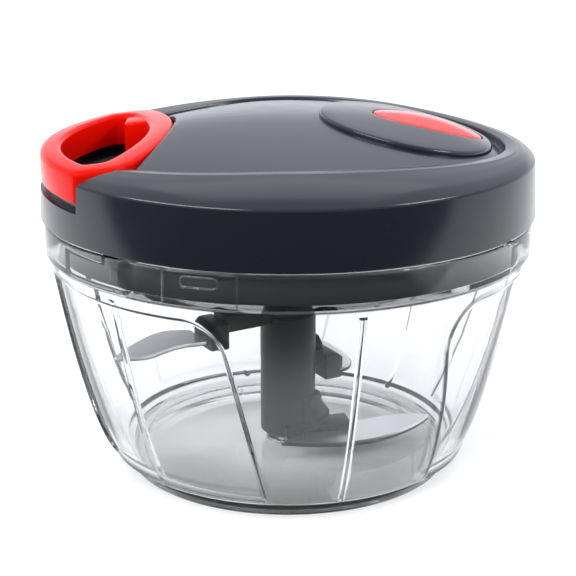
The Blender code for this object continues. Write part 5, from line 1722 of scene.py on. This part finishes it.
@dataclass
class Blade:
    """One steel blade and the arm that holds it, in the arm's own frame: x out along the arm, z up."""

    name: str
    azimuth: float
    lean: float
    z: float
    length: float
    root: float
    arm_end: float
    edge_shares: tuple[tuple[float, float], ...]
    back_shares: tuple[tuple[float, float], ...]
    thickness: float = 0.0010
    ground_share: float = 0.07
    edge_drop: float = 0.35
    spans: int = 40

    def point(self, along_share: float, left_share: float) -> Vector:
        """A point of the plan, by its shares of the blade's length.

        Args:
            along_share: Share along the blade.
            left_share: Share to its left.

        Returns:
            The point.
        """
        lean = math.radians(self.lean)
        along = Vector((math.cos(lean), math.sin(lean)))
        left = Vector((-along.y, along.x))
        return Vector((self.root, 0.0)) + along * self.length * along_share + left * self.length * left_share

    def spread(self, curve: Sequence[Vector]) -> list[Vector]:
        """Points at even distances along a curve.

        Args:
            curve: Points of the curve.

        Returns:
            The new points.
        """
        lengths = [0.0]
        for before, after in zip(curve, curve[1:]):
            lengths.append(lengths[-1] + (after - before).length)
        points = []
        for k in range(self.spans + 1):
            target = lengths[-1] * k / self.spans
            index = max(i for i, length in enumerate(lengths[:-1]) if length <= target + ROUNDING)
            span = lengths[index + 1] - lengths[index]
            points.append(curve[index].lerp(curve[index + 1], (target - lengths[index]) / span))
        return points

    def shape(self) -> Shape:
        """The crescent, with a ground bevel along its cutting edge.

        Returns:
            The shape, at its azimuth.
        """
        tip = self.point(1.0, 0.0)
        edge = self.spread(smoothed([self.point(*s) for s in self.edge_shares] + [tip], 10))
        back = self.spread(smoothed([self.point(*s) for s in reversed(self.back_shares)] + [tip], 10))
        top = self.z + self.thickness / 2
        bm = bmesh.new()
        # Painted shade: marks the cut edge and the underside, which the blade finish draws dark
        edge_shade_layer = bm.verts.layers.float.new("painted_edge_shade")
        verts = [bm.verts.new((p.x, p.y, top - self.thickness * self.edge_drop)) for p in edge[:-1]]
        first = list(verts)
        edges = [bm.edges.new(pair) for pair in zip(verts, verts[1:])]
        for share in (self.ground_share * 0.5, self.ground_share, 0.7, 1.0):
            made = bmesh.ops.extrude_edge_only(bm, edges=edges)["geom"]
            verts = step_pairs(verts, made)
            edges = [item for item in made if isinstance(item, bmesh.types.BMEdge)
                     and all(v in set(verts) for v in item.verts)]
            drop = self.thickness * self.edge_drop * max(0.0, 1 - share / self.ground_share)
            for vert, low, high in zip(verts, edge, back):
                place = low.lerp(high, share)
                vert.co = (place.x, place.y, top - drop)
        faces = list(bm.faces)
        made = bmesh.ops.extrude_face_region(bm, geom=faces)["geom"]
        for vert in verts_of(made):
            vert.co.z = self.z - self.thickness / 2
            vert[edge_shade_layer] = 1.0
        for vert in first:
            vert[edge_shade_layer] = 1.0
        bmesh.ops.recalc_face_normals(bm, faces=bm.faces)
        return self.turned(bm)

    def turned(self, bm: Shape) -> Shape:
        """Turns a shape from the arm's frame to its azimuth."""
        matrix = Matrix.Rotation(math.radians(self.azimuth), 3, "Z")
        bmesh.ops.rotate(bm, verts=bm.verts, cent=(0, 0, 0), matrix=matrix)
        return bm

    def bar(self, start: Vector, end: Vector, width: float, low: float, high: float) -> Shape:
        """An upright slab between two plan points of the arm's frame."""
        side = Vector((start.y - end.y, end.x - start.x)).normalized() * width / 2
        return prism([start - side, end - side, end + side, start + side], low, high)

    def slab(self, profile: Sequence[tuple[float, float]], width: float) -> Shape:
        """Extrudes a side view of (out, z) evenly to both sides of the arm.

        Args:
            profile: Pairs of distance out and height.
            width: Width across the arm.

        Returns:
            The shape.
        """
        bm = bmesh.new()
        face = bm.faces.new([bm.verts.new((out, -width / 2, z)) for out, z in profile])
        made = bmesh.ops.extrude_face_region(bm, geom=[face])["geom"]
        bmesh.ops.translate(bm, verts=verts_of(made), vec=(0, width, 0))
        bmesh.ops.recalc_face_normals(bm, faces=bm.faces)
        return bm


@dataclass
class BladeUnit:
    """The charcoal shaft with its arms, and the three blades they hold."""

    finishes: Finishes
    shaft_radius: float = 0.0076
    shaft_foot: float = 0.0053
    shoulder_z: float = 0.0398
    neck_radius: float = 0.0069
    head_z: float = 0.0661
    hex_flats: float = 0.0079
    hex_top: float = 0.0701
    bore: float = 0.0022
    bore_top: float = 0.0165
    arm_width: float = 0.0064
    arm_thickness: float = 0.0050
    arm_rise: float = 0.0016
    clip_length: float = 0.0056
    clip_width: float = 0.0100
    clip_rise: float = 0.0050
    clip_drop: float = 0.0022
    clip_chamfer: float = 0.0014
    fin_height: float = 0.0086
    fin_reach: float = 0.0026
    fin_width: float = 0.0034
    shoe_length: float = 0.0185
    shoe_width: float = 0.0068
    shoe_rise: float = 0.0026
    shoe_drop: float = 0.0009
    shoe_back: float = 0.0100
    shoe_aside: float = 0.0008
    web_reach: float = 0.0036
    web_width: float = 0.0076
    web_height: float = 0.0076
    web_step: float = 0.0024
    bore_round: float = 0.0002
    foot_chamfer: float = 0.0007
    shaft_round: float = 0.0004
    shoulder_step: float = 0.0005
    neck_round: float = 0.0003
    head_round: float = 0.0006
    hex_sink: float = 0.0004
    hex_round: float = 0.0003
    clip_overlap: float = 0.0006
    arm_round: float = 0.0005
    fin_round: float = 0.0004

    def blades(self) -> list[Blade]:
        """The three blades, from the lowest up.

        Returns:
            The blades.
        """
        swept_back = ((0.88, 0.065), (0.66, 0.105), (0.40, 0.08), (0.16, 0.06))
        return [
            Blade("lower", azimuth=-28.0, lean=43.0, z=0.0067, length=0.0330, root=0.0100, arm_end=0.0100,
                  edge_shares=((-0.38, -0.19), (-0.18, -0.27), (0.05, -0.335), (0.16, -0.35),
                               (0.36, -0.335), (0.58, -0.27), (0.80, -0.16), (0.92, -0.075)),
                  back_shares=swept_back),
            Blade("middle", azimuth=30.0, lean=74.0, z=0.0214, length=0.0330, root=0.0088, arm_end=0.0148,
                  edge_shares=((-0.12, -0.20), (-0.07, -0.27), (0.03, -0.325), (0.16, -0.34),
                               (0.36, -0.325), (0.58, -0.26), (0.80, -0.15), (0.92, -0.07)),
                  back_shares=swept_back + ((0.12, -0.05),)),
            Blade("upper", azimuth=-149.0, lean=3.0, z=0.0361, length=0.0260, root=0.0264, arm_end=0.0264,
                  edge_shares=((0.00, -0.29), (0.14, -0.385), (0.29, -0.41), (0.48, -0.35), (0.70, -0.23),
                               (0.88, -0.10)),
                  back_shares=((0.90, 0.07), (0.78, 0.14), (0.66, 0.155), (0.41, 0.09), (0.23, 0.09),
                               (0.10, 0.125), (0.0, 0.13))),
        ]

    def build_shaft(self) -> Piece:
        """Makes the round shaft with its shoulder and neck.

        Returns:
            The shaft.
        """
        corners = [(0, self.bore_top, 0), (self.bore, self.bore_top, self.bore_round),
                   (self.bore, self.shaft_foot, self.bore_round),
                   (self.shaft_radius - self.foot_chamfer, self.shaft_foot, self.bore_round),
                   (self.shaft_radius, self.shaft_foot + self.foot_chamfer, self.shaft_round),
                   (self.shaft_radius, self.shoulder_z - self.shoulder_step, self.shaft_round),
                   (self.neck_radius, self.shoulder_z, self.neck_round),
                   (self.neck_radius, self.head_z, self.head_round), (0, self.head_z, 0)]
        shaft = new_object("shaft", spun(softened(corners, 4), 96))
        return dressed(shaft, self.finishes.dark, Body.BLADES, ["blade_shaft"], 35.0)

    def build_hex(self) -> Piece:
        """Makes the hex head that the reel's hub drives.

        Returns:
            The hex head.
        """
        bm = bmesh.new()
        corner = self.hex_flats / 2 / math.cos(math.pi / 6)
        bmesh.ops.create_circle(bm, cap_ends=True, segments=6, radius=corner)
        bmesh.ops.rotate(bm, verts=bm.verts, cent=(0, 0, 0), matrix=Matrix.Rotation(math.radians(30), 3, "Z"))
        bmesh.ops.translate(bm, verts=bm.verts, vec=(0, 0, self.head_z - self.hex_sink))
        made = bmesh.ops.extrude_face_region(bm, geom=list(bm.faces))["geom"]
        bmesh.ops.translate(bm, verts=verts_of(made), vec=(0, 0, self.hex_top - self.head_z + self.hex_sink))
        bmesh.ops.recalc_face_normals(bm, faces=bm.faces)
        bevelled(bm, self.hex_round)
        return dressed(new_object("hex_head", bm), self.finishes.dark, Body.BLADES, ())

    def arm_shapes(self, blade: Blade) -> list[tuple[str, Shape, float]]:
        """The shapes that hold one blade.

        Args:
            blade: The blade.

        Returns:
            For each shape its name, its mesh and the rounding of its edges.
        """
        core = self.shaft_radius / 2
        low = blade.z + self.arm_rise
        if blade.name == "lower":
            return self.shoe_shapes(blade, core, low)
        start = blade.arm_end - self.clip_length
        arm = blade.bar(Vector((core, 0.0)), Vector((start + self.clip_overlap, 0.0)), self.arm_width, low,
                        low + self.arm_thickness)
        top, foot = blade.z + self.clip_rise, blade.z - self.clip_drop
        end, chamfer = blade.arm_end, self.clip_chamfer
        clip = blade.slab([(start, foot), (end, foot), (end, top - chamfer), (end - chamfer, top),
                           (start, top)], self.clip_width)
        shapes = [("arm", arm, self.arm_round), ("clip", clip, self.arm_round)]
        if blade.name == "middle":
            reach = self.shaft_radius + self.fin_reach
            top = low + self.fin_height
            fin = blade.slab([(core, low), (reach, low), (reach, top - self.fin_reach),
                              (reach - self.fin_reach / 2, top), (core, top)], self.fin_width)
            shapes.append(("fin", fin, self.fin_round))
        return shapes

    def shoe_shapes(self, blade: Blade, core: float,
                    low: float) -> list[tuple[str, Shape, float]]:
        """The shoe over the lower blade's root and the stepped web that carries it.

        Args:
            blade: The lower blade.
            core: Radius in the shaft where the web starts.
            low: Height of the web's foot.

        Returns:
            For each shape its name, its mesh and the rounding of its edges.
        """
        lean = math.radians(blade.lean)
        along = Vector((math.cos(lean), math.sin(lean)))
        left = Vector((-along.y, along.x))
        start = Vector((blade.root, 0.0)) + left * self.shoe_aside - along * self.shoe_back
        high = blade.z + self.shoe_rise
        shoe = blade.bar(start, start + along * self.shoe_length, self.shoe_width, blade.z - self.shoe_drop,
                         high)
        reach = self.shaft_radius + self.web_reach
        top = high + self.web_height
        step = self.web_step
        web = blade.slab([(core, low), (reach, low), (reach, high + step), (reach - step, high + step * 2),
                          (reach - step, top - step / 2), (reach - step * 3 / 2, top), (core, top)],
                         self.web_width)
        return [("shoe", shoe, self.arm_round), ("web", web, self.arm_round)]

    def build(self) -> None:
        """Makes the shaft, its arms and the blades."""
        self.build_shaft()
        self.build_hex()
        for blade in self.blades():
            for name, bm, soft in self.arm_shapes(blade):
                piece = new_object(f"{blade.name}_{name}", blade.turned(bevelled(bm, soft)))
                dressed(piece, self.finishes.dark, Body.BLADES, ())
            steel = new_object(f"{blade.name}_blade_ground", blade.shape())
            dressed(steel, self.finishes.blade, Body.BLADES, [f"{blade.name}_blade"], 12.0)


# Solids that keep their shape

def dress_solids(finishes: Finishes) -> None:
    """Gives each solid that stays in view its finish.

    Args:
        finishes: The finishes to choose from.
    """
    kept = {
        "centre_pin": (finishes.steel, Slot.STEEL), "reel_axle": (finishes.steel, Slot.STEEL),
        "axle_clip": (finishes.steel, Slot.STEEL), "return_spring": (finishes.steel, Slot.STEEL),
        "seal_ring": (finishes.silicone, Slot.SILICONE), "cord_reel": (finishes.white, Slot.WHITE),
        "spring_cover": (finishes.white, Slot.WHITE),
    }
    for index in range(1, 5):
        kept[f"lid_screw_{index}"] = (finishes.steel, Slot.STEEL)
    for name, (material, slot) in kept.items():
        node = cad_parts[name]
        node.data.materials.clear()
        node.data.materials.append(material)
        LOG.info("%s keeps its solid, finish %s", name, slot.value)


# Studio

@dataclass
class Studio:
    """Pale floor that is grey towards the camera, soft light and the camera at the photo's angle."""

    floor_colour: str = "#f6f6f6"
    shade_colour: str = "#565656"
    shade_lean: float = 0.1
    shade_span: tuple[float, float] = (-0.125, -0.086)
    floor_glow: float = 0.03
    camera_place: Triple = (0.0, -0.390, 0.1651)
    camera_tilt: float = 73.1
    lens: float = 94.3
    sensor: float = 36.0
    floor_radius: float = 6.0
    back_light: Quad = (-0.9, 0.25, 0.55, 1.0)
    side_light: Quad = (-0.7, 0.2, 0.92, 1.0)
    low_light: Quad = (0.15, 0.23, 1.35, 0.86)
    high_light: Quad = (0.3, 0.62, 0.0, 0.55)
    air_colour: Quad = (0.95, 0.975, 1.04, 1.0)

    def build_floor(self) -> None:
        """Makes the floor: white round the chopper, grey towards the camera, which keeps the skirt dark."""
        material, tree, place = start_tree("painted_board_matt")
        split = add_node(tree, "ShaderNodeSeparateXYZ", links={"Vector": place})
        aside = add_node(tree, "ShaderNodeMath", {1: self.shade_lean}, {0: split.outputs["X"]},
                         operation="MULTIPLY")
        along = add_node(tree, "ShaderNodeMath", links={0: aside.outputs["Value"], 1: split.outputs["Y"]},
                         operation="ADD")
        lit = add_node(tree, "ShaderNodeMapRange",
                       {"From Min": self.shade_span[0], "From Max": self.shade_span[1]},
                       {"Value": along.outputs["Value"]}, interpolation_type="SMOOTHSTEP")
        shade = add_node(tree, "ShaderNodeMix",
                         {"A": linear(self.shade_colour), "B": linear(self.floor_colour)},
                         {"Factor": lit.outputs["Result"]}, data_type="RGBA")
        shader = add_node(tree, "ShaderNodeBsdfPrincipled",
                          {"Roughness": 0.9, "Specular IOR Level": 0.1, "Emission Strength": self.floor_glow},
                          {"Base Color": shade.outputs["Result"], "Emission Color": shade.outputs["Result"]})
        add_node(tree, "ShaderNodeOutputMaterial", links={"Surface": shader.outputs["BSDF"]})
        bm = bmesh.new()
        bmesh.ops.create_circle(bm, cap_ends=True, segments=96, radius=self.floor_radius)
        floor = new_object("studio_floor", bm)
        floor.data.materials.append(material)

    def build_light(self, name: str, place: Sequence[float], aim: Sequence[float], size: tuple[float, float],
                    power: float) -> None:
        """Makes one soft box.

        Args:
            name: Its name.
            place: Where it hangs.
            aim: The point it faces.
            size: Its width and height.
            power: Its power in watts.
        """
        data = bpy.data.lights.new(name, "AREA")
        data.shape = "RECTANGLE"
        data.size, data.size_y = size
        data.energy = power
        lamp = bpy.data.objects.new(name, data)
        lamp.location = place
        lamp.rotation_euler = (Vector(aim) - Vector(place)).to_track_quat("-Z", "Y").to_euler()
        bpy.context.scene.collection.objects.link(lamp)

    def build_world(self) -> None:
        """Makes the even surround: bright behind and above, dim on the camera's side."""
        world = bpy.data.worlds.new("studio_surround")
        world.use_nodes = True
        tree = world.node_tree
        tree.nodes.clear()
        place = add_node(tree, "ShaderNodeTexCoord").outputs["Generated"]
        split = add_node(tree, "ShaderNodeSeparateXYZ", links={"Vector": place})
        light = {}
        for name, axis, spans, kind in (("back", "Y", self.back_light, "LINEAR"),
                                        ("side", "X", self.side_light, "LINEAR"),
                                        ("low", "Z", self.low_light, "SMOOTHSTEP"),
                                        ("high", "Z", self.high_light, "LINEAR")):
            values = dict(zip(("From Min", "From Max", "To Min", "To Max"), spans))
            light[name] = add_node(tree, "ShaderNodeMapRange", values, {"Value": split.outputs[axis]},
                                   interpolation_type=kind).outputs["Result"]
        height = add_node(tree, "ShaderNodeMath", links={0: light["low"], 1: light["high"]}, operation="ADD")
        around = add_node(tree, "ShaderNodeMath", links={0: light["back"], 1: light["side"]},
                          operation="MULTIPLY")
        both = add_node(tree, "ShaderNodeMath",
                        links={0: around.outputs["Value"], 1: height.outputs["Value"]}, operation="MULTIPLY")
        shader = add_node(tree, "ShaderNodeBackground", {"Color": self.air_colour},
                          {"Strength": both.outputs["Value"]})
        add_node(tree, "ShaderNodeOutputWorld", links={"Surface": shader.outputs["Background"]})
        bpy.context.scene.world = world

    def build(self) -> None:
        """Makes the floor, the lights and the camera."""
        self.build_floor()
        self.build_world()
        self.build_light("top_box", place=(0.0, 0.25, 0.95), aim=(0, 0, 0.05), size=(0.9, 0.7), power=1.6)
        self.build_light("left_strip", place=(-0.54, -0.42, 0.60), aim=(0, 0, 0.06), size=(0.80, 0.14),
                         power=5.0)
        self.build_light("right_strip", place=(0.66, -0.24, 0.60), aim=(0, 0, 0.06), size=(0.34, 0.14),
                         power=2.3)
        data = bpy.data.cameras.new("camera")
        data.sensor_width = self.sensor
        data.lens = self.lens
        camera = bpy.data.objects.new("camera", data)
        camera.location = self.camera_place
        camera.rotation_euler = (math.radians(self.camera_tilt), 0.0, 0.0)
        bpy.context.scene.collection.objects.link(camera)
        bpy.context.scene.camera = camera
        bpy.context.scene.view_settings.view_transform = "Standard"


def main() -> None:
    """Builds the chopper and its studio."""
    logging.basicConfig(level=logging.INFO, format="%(message)s")
    finishes = Finishes()
    Studio().build()
    bowl = ClearBowl(finishes)
    bowl.build()
    bowl.build_slot_outline()
    bowl.build_pad_edge("pad_edge_left", -1)
    bowl.build_pad_edge("pad_edge_right", 1)
    lid = LidCover(finishes)
    lid.build_cover()
    lid.build_notch_sill()
    lid.build_oval_plate()
    lid.build_insert()
    lid.build_plug()
    lid.build_cord_eyelet()
    handle = LoopHandle(finishes)
    handle.build()
    handle.build_ledge("back_ledge", 1, handle.back_drop)
    handle.build_ledge("front_ledge", -1, handle.front_drop)
    cord = PullCord(finishes)
    cord.build_winding()
    cord.build_run()
    cord.build_stretch()
    cord.build_knot()
    BladeUnit(finishes).build()
    dress_solids(finishes)


if __name__ == "__main__":
    main()
